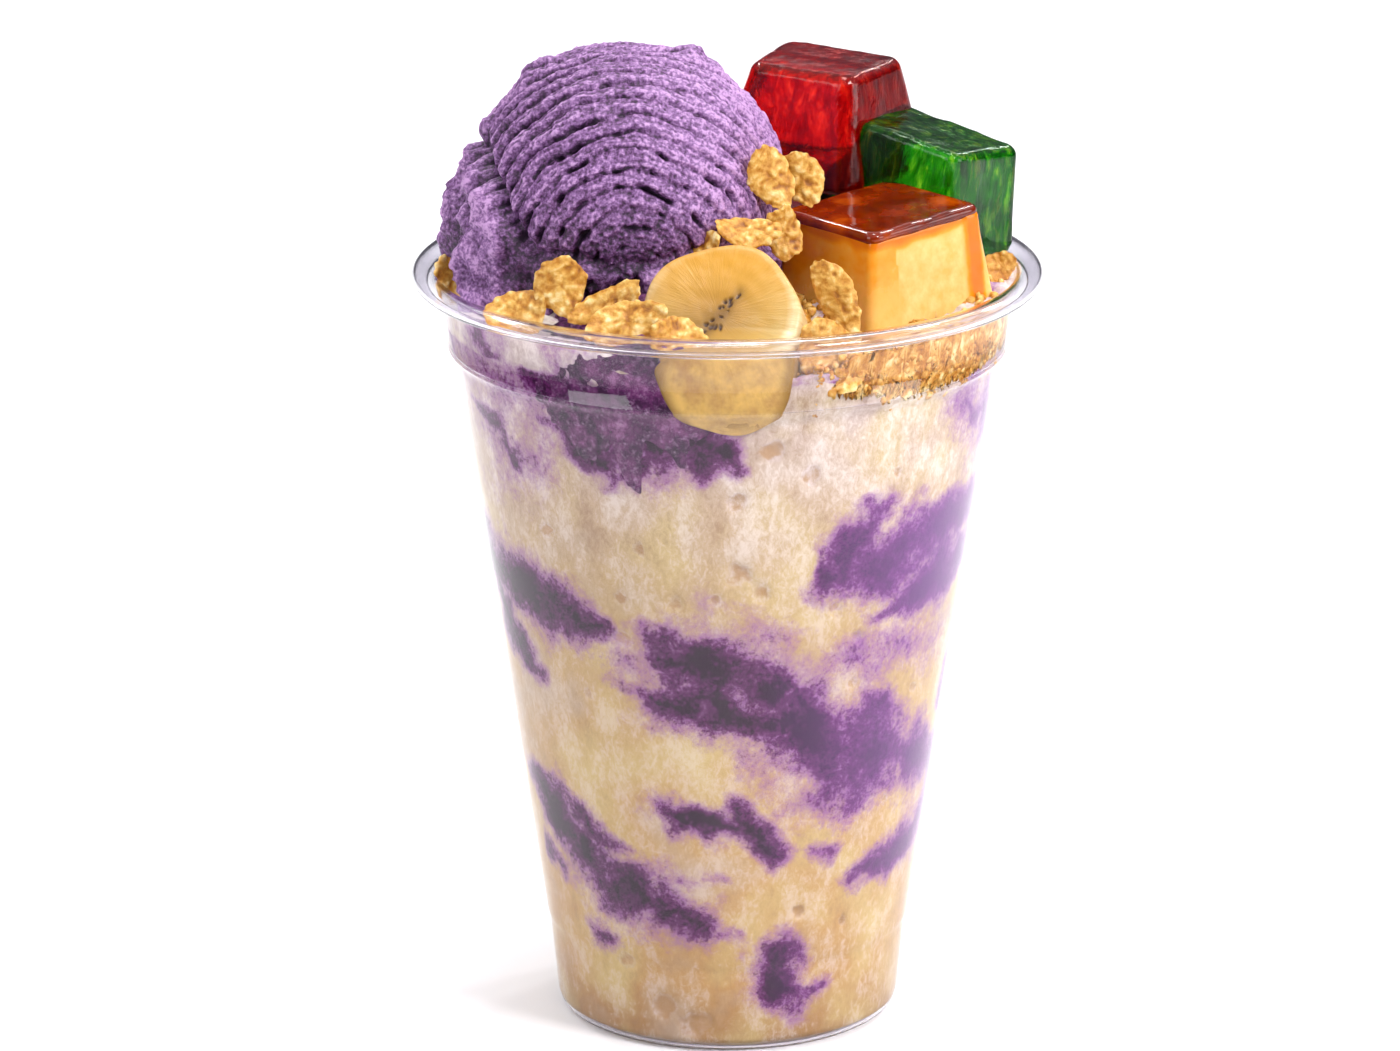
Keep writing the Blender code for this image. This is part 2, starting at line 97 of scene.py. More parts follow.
# Tapered blocks: centre, turn in degrees, width and depth of the top, how much wider and deeper the foot is,
# how far the foot is shifted sideways, height, and how much wider the back is than the front, as a share
RED_JELLY = dict(
    centre=(14.9, 21.3, 139.6), turn=(3, 2, -29), top=(18.8, 14.3), flare=(8.4, 8.0), shift=-1.4, height=18.6,
    splay=0.08)
GREEN_JELLY = dict(
    centre=(30.5, 13.0, 130.8), turn=(-3, 12, -30), top=(18.9, 15.2), flare=(9.4, -2.0), shift=-1.9, height=17.2,
    splay=0.14)
FLAN = dict(
    centre=(24.2, -4.9, 121.0), turn=(3.6, 0.4, -49.4), top=(20.3, 21.6), flare=(3.2, 6.3), shift=0, height=20.9,
    splay=0)
CARAMEL_THICKNESS, CARAMEL_SKIN = 1.2, 1.8

# Banana slice
BANANA_FACE, BANANA_TURN = (-1.4, -36.0, 122.3), (48.0, 0.0, -12.0)
BANANA_RADIUS, BANANA_THICKNESS = 12.4, 12.5
BANANA_SIDE = ((0.9, 0), (0.96, 0.012), (0.99, 0.05), (1, 0.12), (1, 0.4), (0.95, 0.65), (0.82, 0.87), (0.6, 1))
BANANA_SLANT = (2.0, -4.0)
BANANA_CORNER = 0.03
BANANA_PRESS, BANANA_PRESS_TOP, BANANA_PRESS_DEPTH, BANANA_PRESS_WIDTH = 9.0, 121.0, 4.0, 12.5
BANANA_CORE = ((2.8, 3.4), (1.0, 0.2), (-1.8, -3.2))

# Corn flakes: centre, turn in degrees, length and width
FLAKES = (
    ((-42.0, -9.0, 121.0), (62, 30, 20), (7.6, 6.4)),
    ((-31.9, -29.6, 121.0), (66, -14, -8), (9.6, 7.0)),
    ((-25.2, -30.2, 125.3), (76, 68, -14), (9.6, 7.6)),
    ((-18.2, -33.0, 123.2), (62, -26, -10), (12.8, 5.0)),
    ((-14.8, -38.2, 121.6), (66, -16, 8), (12.6, 7.6)),
    ((-7.4, -41.2, 120.0), (72, 22, 14), (8.8, 6.6)),
    ((-4.4, -21.6, 128.7), (58, -28, -14), (8.4, 5.0)),
    ((3.0, -21.6, 131.6), (44, 8, 4), (10.8, 5.4)),
    ((8.6, -17.6, 130.4), (80, 72, 14), (9.0, 5.4)),
    ((6.8, -14.0, 138.0), (74, 60, 8), (10.6, 7.4)),
    ((11.0, -11.0, 137.6), (76, 62, -14), (9.4, 6.6)),
    ((16.4, -33.0, 124.0), (80, 62, -22), (12.0, 6.0)),
    ((15.4, -39.8, 116.4), (84, 52, 20), (13.4, 9.0)),
    ((42.4, 2.4, 119.4), (70, -40, 30), (6.4, 5.6)),
)
FLAKE_THICKNESS, FLAKE_CURL = 1.8, 1.8

# Yam streaks pressed against the wall: each runs through (angle, height, half width)
STREAKS = (
    ((-88, 80, 2.5), (-70, 77, 3.5), (-58, 74.5, 4.0), (-45, 73, 3.0), (-33, 73, 1.6)),
    ((-72, 71, 2.0), (-67, 65, 2.6), (-57, 62, 1.6)),
    ((-22, 72.5, 1.2), (-14, 68.5, 3.6), (-3, 65, 6.0), (8, 62.5, 5.4), (14, 61, 3.0)),
    ((-28, 61.5, 1.0), (-16, 61.5, 2.2), (-4, 60, 3.6), (8, 57, 2.4)),
    ((12, 56, 2.4), (20, 53.5, 5.6), (31, 51, 6.6), (43, 49, 5.6), (58, 47, 3.6), (78, 42, 3.0)),
    ((17, 61, 1.0), (24, 57, 2.6)),
    ((38, 55, 1.6), (44, 57, 1.2)),
    ((22, 83, 1.6), (30, 81.5, 4.0), (40, 81, 4.6), (50, 83, 3.4), (62, 86, 2.6), (80, 85, 2.4)),
    ((31, 84, 2.6), (37, 88.5, 2.0), (43, 91.5, 1.0)),
    ((38, 72, 1.2), (50, 74, 3.2), (62, 77, 3.6), (78, 77, 2.4)),
    ((84, 60, 1.8), (76, 53, 1.2)),
    ((88, 37, 2.4), (68, 32.5, 3.0), (54, 29, 2.4), (40, 26, 0.8)),
    ((-70, 42, 1.4), (-58, 36.5, 3.6), (-46, 31.5, 3.6), (-34, 27.5, 3.8), (-22, 24.5, 4.0), (-10, 22.5, 2.4)),
    ((-44, 38, 1.2), (-36, 34.5, 1.6), (-28, 33, 0.8)),
    ((-66, 29, 0.8), (-58, 25, 0.6)),
    ((-23, 42, 1.0), (-15, 40.5, 2.0), (-5, 39, 2.0), (4, 40, 1.6)),
    ((3, 42, 1.6), (10, 38, 2.2), (15, 34.5, 1.6)),
    ((2, 44, 0.8), (1, 42, 0.8)),
    ((19, 18, 1.4), (15, 14.5, 2.4), (13, 11, 2.6), (22, 8.5, 2.2), (29, 10, 1.4)),
    ((2, 20.5, 0.8), (-5, 20, 1.2), (4, 19, 1.0)),
    ((26, 34, 0.5), (33, 33, 0.8)),
    ((-44, 20, 0.7), (-41, 18, 0.9)),
    ((-12, 30, 0.6), (-4, 30.5, 0.7)),
    ((-70, 103, 0.6), (-58, 101, 1.6), (-52, 97, 1.4)),
    ((-40, 104, 1.0), (-33, 102, 2.2), (-27, 100, 1.4)),
    ((62, 104, 0.4), (74, 99, 1.4), (84, 94, 1.0)),
    ((-42, 113, 3.0), (-31, 109, 5.0), (-19, 106, 6.0), (-7, 103, 4.5), (2, 101, 2.0)),
    ((-21.5, 102, 2.6), (-21.5, 96, 1.4)),
    ((-7, 101, 3.0), (-5, 97.5, 2.0)),
)
# The bands behind: the angle and height where each starts, and its half width
BACK_BANDS = (
    (92, 84, 3.4), (150, 96, 2.6), (100, 50, 3.8), (160, 66, 4.2), (215, 86, 2.4),
    (95, 33, 2.2), (150, 24, 3.2), (215, 50, 3.0), (180, 12, 2.0), (130, 106, 2.6),
)
# Places where a little yam has mixed into the ice
HAZES = (
    ((-78, 113, 5.0), (-62, 110, 8.0), (-46, 108, 8.0)),
    ((-60, 100, 6.0), (-48, 98, 5.0)),
    ((-24, 68, 3.0), (-20, 64, 4.0)),
    ((60, 104, 4.0), (80, 100, 6.0), (100, 96, 5.0)),
    ((30, 66, 3.0), (60, 66, 5.0)),
)
# Tan hollows in the ice against the wall: angle, height, radius
HOLLOWS = (
    (-20, 85.5, 1.3), (3, 82, 2.0), (8, 79, 1.6), (-3, 77.5, 0.9), (20, 77, 0.9), (26, 75, 1.0), (18, 98, 2.0),
    (2, 94, 1.6), (33, 70, 1.0), (33, 62, 0.9), (-26, 77, 1.4), (-26, 70, 1.6), (-12, 77, 1.6), (-38, 60, 1.2),
    (-46, 86, 1.6), (10, 102, 1.8), (22, 24, 1.2), (-22, 8, 2.4), (-12, 5, 2.6), (38, 21, 0.9), (-34, 14, 1.6),
    (56, 58, 1.0), (40, 96, 1.0), (50, 40, 1.0),
)


# ---- patterns -------------------------------------------------------------------------------------


def bumps(points, size, seed=0):
    """Smooth noise from -1 to 1 at points in mm, with bumps about size mm apart."""
    place = np.asarray(points) / size + seed * 31.7
    corner = np.floor(place).astype(np.int64)
    share = place - corner
    ease = share * share * (3 - 2 * share)
    total = np.zeros(len(place))
    for step in itertools.product((0, 1), repeat=3):
        where = corner + step
        mixed = (where[:, 0] * 73856093) ^ (where[:, 1] * 19349663) ^ (where[:, 2] * 83492791)
        mixed = (mixed ^ (mixed >> 13)) * 1274126177
        value = ((mixed ^ (mixed >> 16)) & 0xFFFF) / 32767.5 - 1
        total += value * np.prod(np.where(step, ease, 1 - ease), axis=1)
    return total


def rough(points, size, octaves=3, seed=0):
    """Noise of several sizes laid over each other, each half as large and half as strong."""
    return sum(bumps(points, size / 2**i, seed + i) / 2**i for i in range(octaves))


def ramp(value, low, high):
    """0 below low, 1 above high and a smooth step between."""
    share = np.clip((value - low) / (high - low), 0, 1)
    return share * share * (3 - 2 * share)


def hump(value, width):
    return np.exp(-((value / width) ** 2))


def placement(centre, turn):
    angles = [math.radians(a) for a in turn]
    return Matrix.Translation(Vector(centre)) @ Euler(angles).to_matrix().to_4x4()


def moved(points, place):
    turn = np.array(place.to_3x3())
    return points @ turn.T + np.array(place.translation)


# ---- meshes ---------------------------------------------------------------------------------------


def ring_faces(rings, around):
    """Faces of a closed surface of point rings between two end points, the first and the last point."""
    grid = 1 + np.arange(rings * around).reshape(rings, around)
    after = np.roll(grid, -1, axis=1)
    quads = np.stack([grid[:-1], grid[1:], after[1:], after[:-1]], axis=-1).reshape(-1, 4)
    last = rings * around + 1
    first_fan = [(0, a, b) for a, b in zip(grid[0].tolist(), after[0].tolist())]
    last_fan = [(last, b, a) for a, b in zip(grid[-1].tolist(), after[-1].tolist())]
    return quads.tolist() + first_fan + last_fan


def turned(outline, around):
    """Points and faces turned about +Z from (radius, height) points that start and end on the axis."""
    outline = np.array(outline)
    angles = np.linspace(0, 2 * np.pi, around, endpoint=False)
    radius, height = outline[1:-1, :1], outline[1:-1, 1:]
    rings = np.stack([radius * np.sin(angles), -radius * np.cos(angles), height + 0 * angles], axis=-1)
    ends = [[(0, 0, outline[0, 1])], [(0, 0, outline[-1, 1])]]
    return np.concatenate([ends[0], rings.reshape(-1, 3), ends[1]]), ring_faces(len(outline) - 2, around)


def ball_ways(rings, around):
    """Unit vectors of a ball of rings about +Z, with its faces."""
    turns = np.linspace(0, np.pi, rings + 2)
    return turned(np.stack([np.sin(turns), np.cos(turns)], axis=-1), around)


def new_mesh(name, points, faces, marks=None, smooth=True):
    """A mesh in metres from points in mm, with its faces turned outwards and named values on its points."""
    mesh = bpy.data.meshes.new(name)
    mesh.from_pydata((np.asarray(points) * MM).tolist(), [], faces)
    bm = bmesh.new()
    bm.from_mesh(mesh)
    bmesh.ops.recalc_face_normals(bm, faces=bm.faces)
    bm.to_mesh(mesh)
    bm.free()
    for mark, values in (marks or {}).items():
        layer = mesh.attributes.new(mark, "FLOAT", "POINT")
        layer.data.foreach_set("value", np.asarray(values, dtype=np.float32))
    if smooth:
        mesh.shade_smooth()
    return mesh


def normals_of(points, faces):
    """The outward normals at a closed mesh's points."""
    mesh = new_mesh("measure", points, faces)
    normals = np.empty(len(points) * 3, dtype=np.float32)
    mesh.vertices.foreach_get("normal", normals)
    bpy.data.meshes.remove(mesh)
    return normals.reshape(-1, 3)


def add_piece(name, mesh, finish, slot, *nodes):
    piece = bpy.data.objects.new(name, mesh)
    bpy.context.scene.collection.objects.link(piece)
    mesh.materials.append(finish)
    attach(piece, "root")
    if nodes:
        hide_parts(*nodes)
    return piece


# ---- finishes -------------------------------------------------------------------------------------


def linear(hex_colour):
    """A linear colour from an sRGB one, such as "#8e62a3"."""
    parts = [int(hex_colour[i : i + 2], 16) / 255 for i in (1, 3, 5)]
    return [p / 12.92 if p <= 0.04045 else ((p + 0.055) / 1.055) ** 2.4 for p in parts] + [1.0]


def per(size):
    """The scale of a pattern whose repeats are size mm apart, on coordinates in metres."""
    return 1 / (size * MM)


def add(tree, kind, settings=None, inputs=None):
    """Adds a shader node. Its inputs are values, "#rrggbb" colours, nodes or sockets, by name or number."""
    made = tree.nodes.new("ShaderNode" + kind)
    for name, value in (settings or {}).items():
        if name == "stops":
            elements = made.color_ramp.elements
            for i, (position, colour) in enumerate(value):
                stop = elements[i] if i < 2 else elements.new(position)
                stop.position, stop.color = position, linear(colour)
        else:
            setattr(made, name, value)
    for key, value in (inputs or {}).items():
        fits = [s for i, s in enumerate(made.inputs) if s.enabled and key in (s.name, i)]
        if isinstance(value, str):
            value = linear(value)
        if isinstance(value, bpy.types.Node):
            value = next(s for s in value.outputs if s.enabled)
        if isinstance(value, bpy.types.NodeSocket):
            tree.links.new(value, fits[0])
        else:
            fits[0].default_value = value
    return made


def new_finish(name):
    """A material with its node tree, its Principled shader and the object's own coordinates."""
    material = bpy.data.materials.new(name)
    material.use_nodes = True
    tree = material.node_tree
    place = add(tree, "TexCoord").outputs["Object"]
    return material, tree, tree.nodes["Principled BSDF"], place


def set_shader(tree, shader, **values):
    for name, value in values.items():
        socket = shader.inputs[name.replace("_", " ")]
        if isinstance(value, bpy.types.Node):
            value = next(s for s in value.outputs if s.enabled)
        if isinstance(value, str):
            value = linear(value)
        if isinstance(value, bpy.types.NodeSocket):
            tree.links.new(value, socket)
        else:
            socket.default_value = value


def clear_pet():
    """PET sheet, thermoformed: clear and glossy, with the faint waves that the mould leaves."""
    material, tree, shader, place = new_finish("clear_pet")
    waves = add(tree, "TexNoise", inputs={"Vector": place, "Scale": per(14), "Detail": 2.0})
    dimple = add(tree, "Bump", inputs={"Height": waves, "Strength": 0.12, "Distance": 0.3 * MM})
    haze = add(tree, "MapRange", inputs={"Value": waves, "To Min": 0.02, "To Max": 0.07})
    set_shader(
        tree, shader, Base_Color="#f6f4fa", Roughness=haze, IOR=1.46, Transmission_Weight=1.0, Normal=dimple,
        Specular_IOR_Level=0.25)
    rays = add(tree, "LightPath")
    through = add(tree, "BsdfTransparent", inputs={"Color": "#f2f0f6"})
    mix = add(tree, "MixShader", inputs={0: rays.outputs["Is Shadow Ray"], 1: shader, 2: through})
    tree.links.new(mix.outputs[0], tree.nodes["Material Output"].inputs["Surface"])
    return material


def yam_colour(tree, place, amount):
    """Purple yam from pale, where slight, to deep, where thick, in the grain of crushed ice, with painted light
    that makes it paler towards the right.
    """
    grain = add(
        tree, "TexNoise",
        inputs={"Vector": place, "Scale": per(0.9), "Detail": 5.0, "Roughness": 0.75})
    shade = add(tree, "Math", {"operation": "MULTIPLY_ADD"}, {0: grain, 1: 2.2, 2: -1.1})
    depth = add(tree, "Math", {"operation": "ADD"}, {0: amount, 1: shade})
    paste = add(
        tree, "ValToRGB",
        {"stops": ((0.0, "#a06aa0"), (0.4, "#66255f"), (1.0, "#2c0629"))}, {"Fac": depth})
    # Painted light: the yam turns paler and more violet towards the right, where the light falls.
    across = add(tree, "SeparateXYZ", inputs={"Vector": place}).outputs["X"]
    painted_light_right = add(
        tree, "MapRange", inputs={"Value": across, "From Min": 4 * MM, "From Max": 34 * MM, "To Max": 0.55})
    return add(tree, "Mix", {"data_type": "RGBA"}, {"Factor": painted_light_right, "A": paste, "B": "#9050a4"})


def milky_ice():
    """Shaved ice soaked in milk and pressed against the cup: matt, cream, frosted and grainy."""
    material, tree, shader, place = new_finish("milky_ice")
    height = add(tree, "SeparateXYZ", inputs={"Vector": place}).outputs["Z"]
    level = add(tree, "MapRange", inputs={"Value": height, "From Max": FILL_EDGE * MM})
    milk = add(
        tree, "ValToRGB",
        {"stops": ((0.0, "#a27a4c"), (1.0, "#cbbcba"), (0.1, "#c29a5e"), (0.35, "#c8a670"), (0.65, "#c3a878"),
                   (0.84, "#c6b098"))},
        {"Fac": level})
    clouds = add(tree, "TexNoise", inputs={"Vector": place, "Scale": per(13), "Detail": 3.0})
    cloud_share = add(
        tree, "MapRange", inputs={"Value": clouds, "From Min": 0.48, "From Max": 0.7, "To Max": 0.7})
    clouded = add(tree, "Mix", {"data_type": "RGBA"}, {"Factor": cloud_share, "A": milk, "B": "#d4c184"})
    grey_share = add(
        tree, "MapRange", inputs={"Value": clouds, "From Min": 0.48, "From Max": 0.3, "To Max": 0.6})
    creamy = add(tree, "Mix", {"data_type": "RGBA"}, {"Factor": grey_share, "A": clouded, "B": "#c2b09c"})
    settled = add(tree, "Mapping", inputs={"Vector": place, "Scale": (1.0, 1.0, 0.6)})
    frost = add(
        tree, "TexNoise",
        inputs={"Vector": settled, "Scale": per(0.9), "Detail": 7.0, "Roughness": 0.8, "Distortion": 0.5})
    packed = add(tree, "TexNoise", inputs={"Vector": settled, "Scale": per(5), "Detail": 4.0})
    crust = add(tree, "Math", {"operation": "MULTIPLY_ADD"}, {0: packed, 1: 0.8, 2: -0.4})
    white = add(tree, "Math", {"operation": "ADD"}, {0: frost, 1: crust})
    frost_cover = add(
        tree, "MapRange", inputs={"Value": white, "From Min": 0.48, "From Max": 0.68, "To Max": 0.8})
    frosty = add(tree, "MapRange", inputs={"Value": level, "From Min": 0.6, "From Max": 0.9, "To Min": 0.5})
    frost_share = add(tree, "Math", {"operation": "MULTIPLY"}, {0: frost_cover, 1: frosty})
    frosted = add(tree, "Mix", {"data_type": "RGBA"}, {"Factor": frost_share, "A": creamy, "B": "#ebe2d8"})
    shade_cover = add(
        tree, "MapRange", inputs={"Value": white, "From Min": 0.46, "From Max": 0.26, "To Max": 0.6})
    shade_share = add(tree, "Math", {"operation": "MULTIPLY"}, {0: shade_cover, 1: frosty})
    shaded = add(tree, "Mix", {"data_type": "RGBA"}, {"Factor": shade_share, "A": frosted, "B": "#927050"})

    hollow = add(tree, "Attribute", {"attribute_name": "hollow"}).outputs["Fac"]
    melted = add(tree, "TexNoise", inputs={"Vector": place, "Scale": per(2.2), "Detail": 5.0})
    ragged_hollow = add(tree, "Math", {"operation": "MULTIPLY_ADD"}, {0: melted, 1: 2.4, 2: hollow})
    hollow_cover = add(
        tree, "MapRange", {"interpolation_type": "SMOOTHSTEP"},
        {"Value": ragged_hollow, "From Min": 1.6, "From Max": 2.3, "To Max": 0.75})
    hollowed = add(tree, "Mix", {"data_type": "RGBA"}, {"Factor": hollow_cover, "A": shaded, "B": "#a87c34"})

    yam = add(tree, "Attribute", {"attribute_name": "yam"}).outputs["Fac"]
    ragged = add(
        tree, "TexNoise",
        inputs={"Vector": place, "Scale": per(1.3), "Detail": 6.0, "Roughness": 0.85})
    edge = add(tree, "Math", {"operation": "MULTIPLY_ADD"}, {0: ragged, 1: 1.9, 2: -0.95})
    amount = add(tree, "Math", {"operation": "ADD"}, {0: yam, 1: edge})
    cover = add(
        tree, "MapRange", {"interpolation_type": "SMOOTHSTEP"},
        {"Value": amount, "From Min": -0.7, "From Max": 0.35})
    purple = yam_colour(tree, place, amount)
    colour = add(tree, "Mix", {"data_type": "RGBA"}, {"Factor": cover, "A": hollowed, "B": purple})
    relief = add(tree, "Bump", inputs={"Height": frost, "Strength": 0.35, "Distance": 0.4 * MM})
    set_shader(
        tree, shader, Base_Color=colour, Roughness=0.45, IOR=1.33, Normal=relief, Specular_IOR_Level=0.2)
    return material


def yam_jam():
    """Purple yam jam, cooked and mashed: a moist dark paste with pale flecks of milk."""
    material, tree, shader, place = new_finish("yam_jam")
    mash = add(
        tree, "TexNoise",
        inputs={"Vector": place, "Scale": per(3.6), "Detail": 8.0, "Roughness": 0.75})
    paste = add(
        tree, "ValToRGB",
        {"stops": ((0.34, "#1e081d"), (0.68, "#a86f9c"), (0.46, "#451542"), (0.56, "#6e3265"))}, {"Fac": mash})
    fleck = add(
        tree, "TexNoise", inputs={"Vector": place, "Scale": per(0.8), "Detail": 4.0, "Roughness": 0.7})
    fleck_share = add(
        tree, "MapRange", inputs={"Value": fleck, "From Min": 0.52, "From Max": 0.7, "To Max": 0.55})
    colour = add(tree, "Mix", {"data_type": "RGBA"}, {"Factor": fleck_share, "A": paste, "B": "#b98fb4"})
    relief = add(tree, "Bump", inputs={"Height": fleck, "Strength": 0.6, "Distance": 0.4 * MM})
    set_shader(tree, shader, Base_Color=colour, Roughness=0.4, Normal=relief, Specular_IOR_Level=0.25)
    return material


def yam_ice_cream():
    """Purple yam ice cream, scooped hard: matt and crystalline, with torn hollows under its ridges; its tone
    carries painted shade in hollows, creases and folds and painted light on the lips and to the right.
    """
    material, tree, shader, place = new_finish("yam_ice_cream")
    tone_and_painted_light = add(tree, "Attribute", {"attribute_name": "tone_and_painted_light"}).outputs["Fac"]
    crystals = add(
        tree, "TexNoise",
        inputs={"Vector": place, "Scale": per(0.6), "Detail": 3.0, "Roughness": 0.6})
    grain = add(tree, "Math", {"operation": "MULTIPLY_ADD"}, {0: crystals, 1: 2.2, 2: -1.1})
    tone = add(tree, "Math", {"operation": "ADD"}, {0: tone_and_painted_light, 1: grain})
    colour = add(
        tree, "ValToRGB",
        {"stops": ((0.0, "#250b2b"), (1.0, "#bd93c4"), (0.3, "#532d59"), (0.52, "#744b80"), (0.74, "#91689c"))},
        {"Fac": tone})
    relief = add(tree, "Bump", inputs={"Height": crystals, "Strength": 0.8, "Distance": 0.35 * MM})
    set_shader(
        tree, shader, Base_Color=colour, Roughness=0.55, Normal=relief, Subsurface_Weight=0.15,
        Subsurface_Radius=(1.0, 0.6, 1.0), Subsurface_Scale=0.8 * MM)
    return material


def jelly(name, deep, bright, painted_glint):
    """Firm agar jelly, set and cut with a knife: clear, deep in colour and wet, with fine cutting marks whose
    lightest streaks are painted glints.
    """
    material, tree, shader, place = new_finish(name)
    drawn = add(tree, "Mapping", inputs={"Vector": place, "Scale": (1.0, 1.0, 0.28)})
    marks = add(
        tree, "TexNoise",
        inputs={"Vector": drawn, "Scale": per(1.5), "Detail": 4.0, "Roughness": 0.6, "Distortion": 0.5})
    # The lightest colour along the marks is a painted glint, light caught inside the jelly.
    colour = add(
        tree, "ValToRGB",
        {"stops": ((0.4, deep), (0.68, painted_glint), (0.54, bright))}, {"Fac": marks})
    relief = add(tree, "Bump", inputs={"Height": marks, "Strength": 0.35, "Distance": 0.5 * MM})
    set_shader(
        tree, shader, Base_Color=colour, Roughness=0.05, IOR=1.36, Transmission_Weight=0.85, Normal=relief,
        Specular_IOR_Level=0.35)
    return material


def flan_custard():
    """Steamed egg custard: smooth, dense and faintly translucent, stained amber where syrup has run."""
    material, tree, shader, place = new_finish("flan_custard")
    syrup = add(tree, "Attribute", {"attribute_name": "syrup"}).outputs["Fac"]
    curd = add(tree, "TexNoise", inputs={"Vector": place, "Scale": per(2.6), "Detail": 5.0, "Roughness": 0.6})
    custard = add(tree, "ValToRGB", {"stops": ((0.35, "#e3b458"), (0.65, "#efcd82"))}, {"Fac": curd})
    wander = add(tree, "Math", {"operation": "MULTIPLY_ADD"}, {0: curd, 1: 0.5, 2: -0.25})
    amount = add(tree, "Math", {"operation": "ADD"}, {0: syrup, 1: wander})
    stain = add(tree, "ValToRGB", {"stops": ((0.35, "#f4a214"), (0.9, "#d87405"))}, {"Fac": amount})
    cover = add(
        tree, "MapRange", {"interpolation_type": "SMOOTHSTEP"},
        {"Value": amount, "From Min": 0.1, "From Max": 0.6})
    colour = add(tree, "Mix", {"data_type": "RGBA"}, {"Factor": cover, "A": custard, "B": stain})
    shine = add(tree, "MapRange", inputs={"Value": cover, "To Min": 0.42, "To Max": 0.18})
    relief = add(tree, "Bump", inputs={"Height": curd, "Strength": 0.25, "Distance": 0.3 * MM})
    set_shader(
        tree, shader, Base_Color=colour, Roughness=shine, Normal=relief, Subsurface_Weight=0.2,
        Subsurface_Radius=(1.0, 0.6, 0.25), Subsurface_Scale=1.2 * MM, Specular_IOR_Level=0.35)
    return material


def caramel_syrup():
    """Burnt sugar syrup, set on the flan: a glossy amber to dark brown skin."""
    material, tree, shader, place = new_finish("caramel_syrup")
    depth = add(tree, "TexNoise", inputs={"Vector": place, "Scale": per(7), "Detail": 4.0, "Roughness": 0.55})
    colour = add(
        tree, "ValToRGB",
        {"stops": ((0.34, "#561000"), (0.7, "#b04a04"), (0.5, "#7a2000"))}, {"Fac": depth})
    ripple = add(tree, "Bump", inputs={"Height": depth, "Strength": 0.3, "Distance": 0.4 * MM})
    set_shader(
        tree, shader, Base_Color=colour, Roughness=0.06, IOR=1.45, Normal=ripple, Subsurface_Weight=0.15,
        Subsurface_Radius=(1.0, 0.4, 0.1), Subsurface_Scale=1.0 * MM)
    return material


def banana_flesh():
    """Ripe banana, sliced: soft and moist, with a paler edge, fine spokes and dark seeds at the middle."""
    material, tree, shader, place = new_finish("banana_flesh")
    split = add(tree, "SeparateXYZ", inputs={"Vector": place})
    flat = add(tree, "CombineXYZ", inputs={"X": split.outputs["X"], "Y": split.outputs["Y"]})
    reach = add(tree, "VectorMath", {"operation": "LENGTH"}, {0: flat}).outputs["Value"]
    share = add(tree, "Math", {"operation": "DIVIDE"}, {0: reach, 1: BANANA_RADIUS * MM})
    way = add(tree, "VectorMath", {"operation": "NORMALIZE"}, {0: flat})
    spread = add(tree, "VectorMath", {"operation": "SCALE"}, {0: way, "Scale": 6.0})
    out = add(tree, "Math", {"operation": "MULTIPLY"}, {0: share, 1: 1.2})
    outwards = add(tree, "CombineXYZ", inputs={"Z": out})
    spoke_place = add(tree, "VectorMath", {"operation": "ADD"}, {0: spread, 1: outwards})
    spokes = add(
        tree, "TexNoise", inputs={"Vector": spoke_place, "Scale": 2.6, "Detail": 5.0, "Roughness": 0.65})
    rings = add(
        tree, "ValToRGB",
        {"stops": ((0.0, "#86601e"), (1.0, "#ecdcae"), (0.25, "#9c742c"), (0.6, "#b5924a"), (0.84, "#c2a463"),
                   (0.92, "#e2d2a6"))},
        {"Fac": share})
    streak = add(tree, "MapRange", inputs={"Value": spokes, "From Min": 0.45, "From Max": 0.7, "To Max": 0.5})
    streaked = add(tree, "Mix", {"data_type": "RGBA"}, {"Factor": streak, "A": rings, "B": "#a57a2c"})
    cloud = add(tree, "TexNoise", inputs={"Vector": place, "Scale": per(5), "Detail": 5.0, "Roughness": 0.65})
    cloud_share = add(
        tree, "MapRange", inputs={"Value": cloud, "From Min": 0.45, "From Max": 0.75, "To Max": 0.5})
    clouded = add(tree, "Mix", {"data_type": "RGBA"}, {"Factor": cloud_share, "A": streaked, "B": "#bd8d34"})
    damp_flesh = add(tree, "ValToRGB", {"stops": ((0.36, "#ab7c2c"), (0.62, "#e0ba5c"))}, {"Fac": cloud})
    ripe = add(
        tree, "MapRange",
        inputs={"Value": split.outputs["Y"], "From Min": -2 * MM, "From Max": 9 * MM, "To Max": 0.85})
    golden = add(tree, "Mix", {"data_type": "RGBA"}, {"Factor": ripe, "A": clouded, "B": "#cb8e14"})
    damp = add(tree, "Attribute", {"attribute_name": "damp"}).outputs["Fac"]
    damp_share = add(tree, "Math", {"operation": "MULTIPLY"}, {0: damp, 1: 0.85})
    soaked = add(tree, "Mix", {"data_type": "RGBA"}, {"Factor": damp_share, "A": golden, "B": damp_flesh})
    # Painted shade round the outline of the part pressed against the wall.
    outline_shade = add(tree, "Attribute", {"attribute_name": "outline_shade"}).outputs["Fac"]
    outline_shade_share = add(tree, "Math", {"operation": "MULTIPLY"}, {0: outline_shade, 1: 0.8})
    outline_shaded = add(tree, "Mix", {"data_type": "RGBA"}, {"Factor": outline_shade_share, "A": soaked, "B": "#85601f"})
    seed = add(tree, "Attribute", {"attribute_name": "seed"}).outputs["Fac"]
    colour = add(tree, "Mix", {"data_type": "RGBA"}, {"Factor": seed, "A": outline_shaded, "B": "#3c1e0c"})
    relief = add(tree, "Bump", inputs={"Height": spokes, "Strength": 0.3, "Distance": 0.4 * MM})
    set_shader(
        tree, shader, Base_Color=colour, Roughness=0.35, Normal=relief, Subsurface_Weight=0.15,
        Subsurface_Radius=(1.0, 0.8, 0.5), Subsurface_Scale=1.0 * MM)
    return material


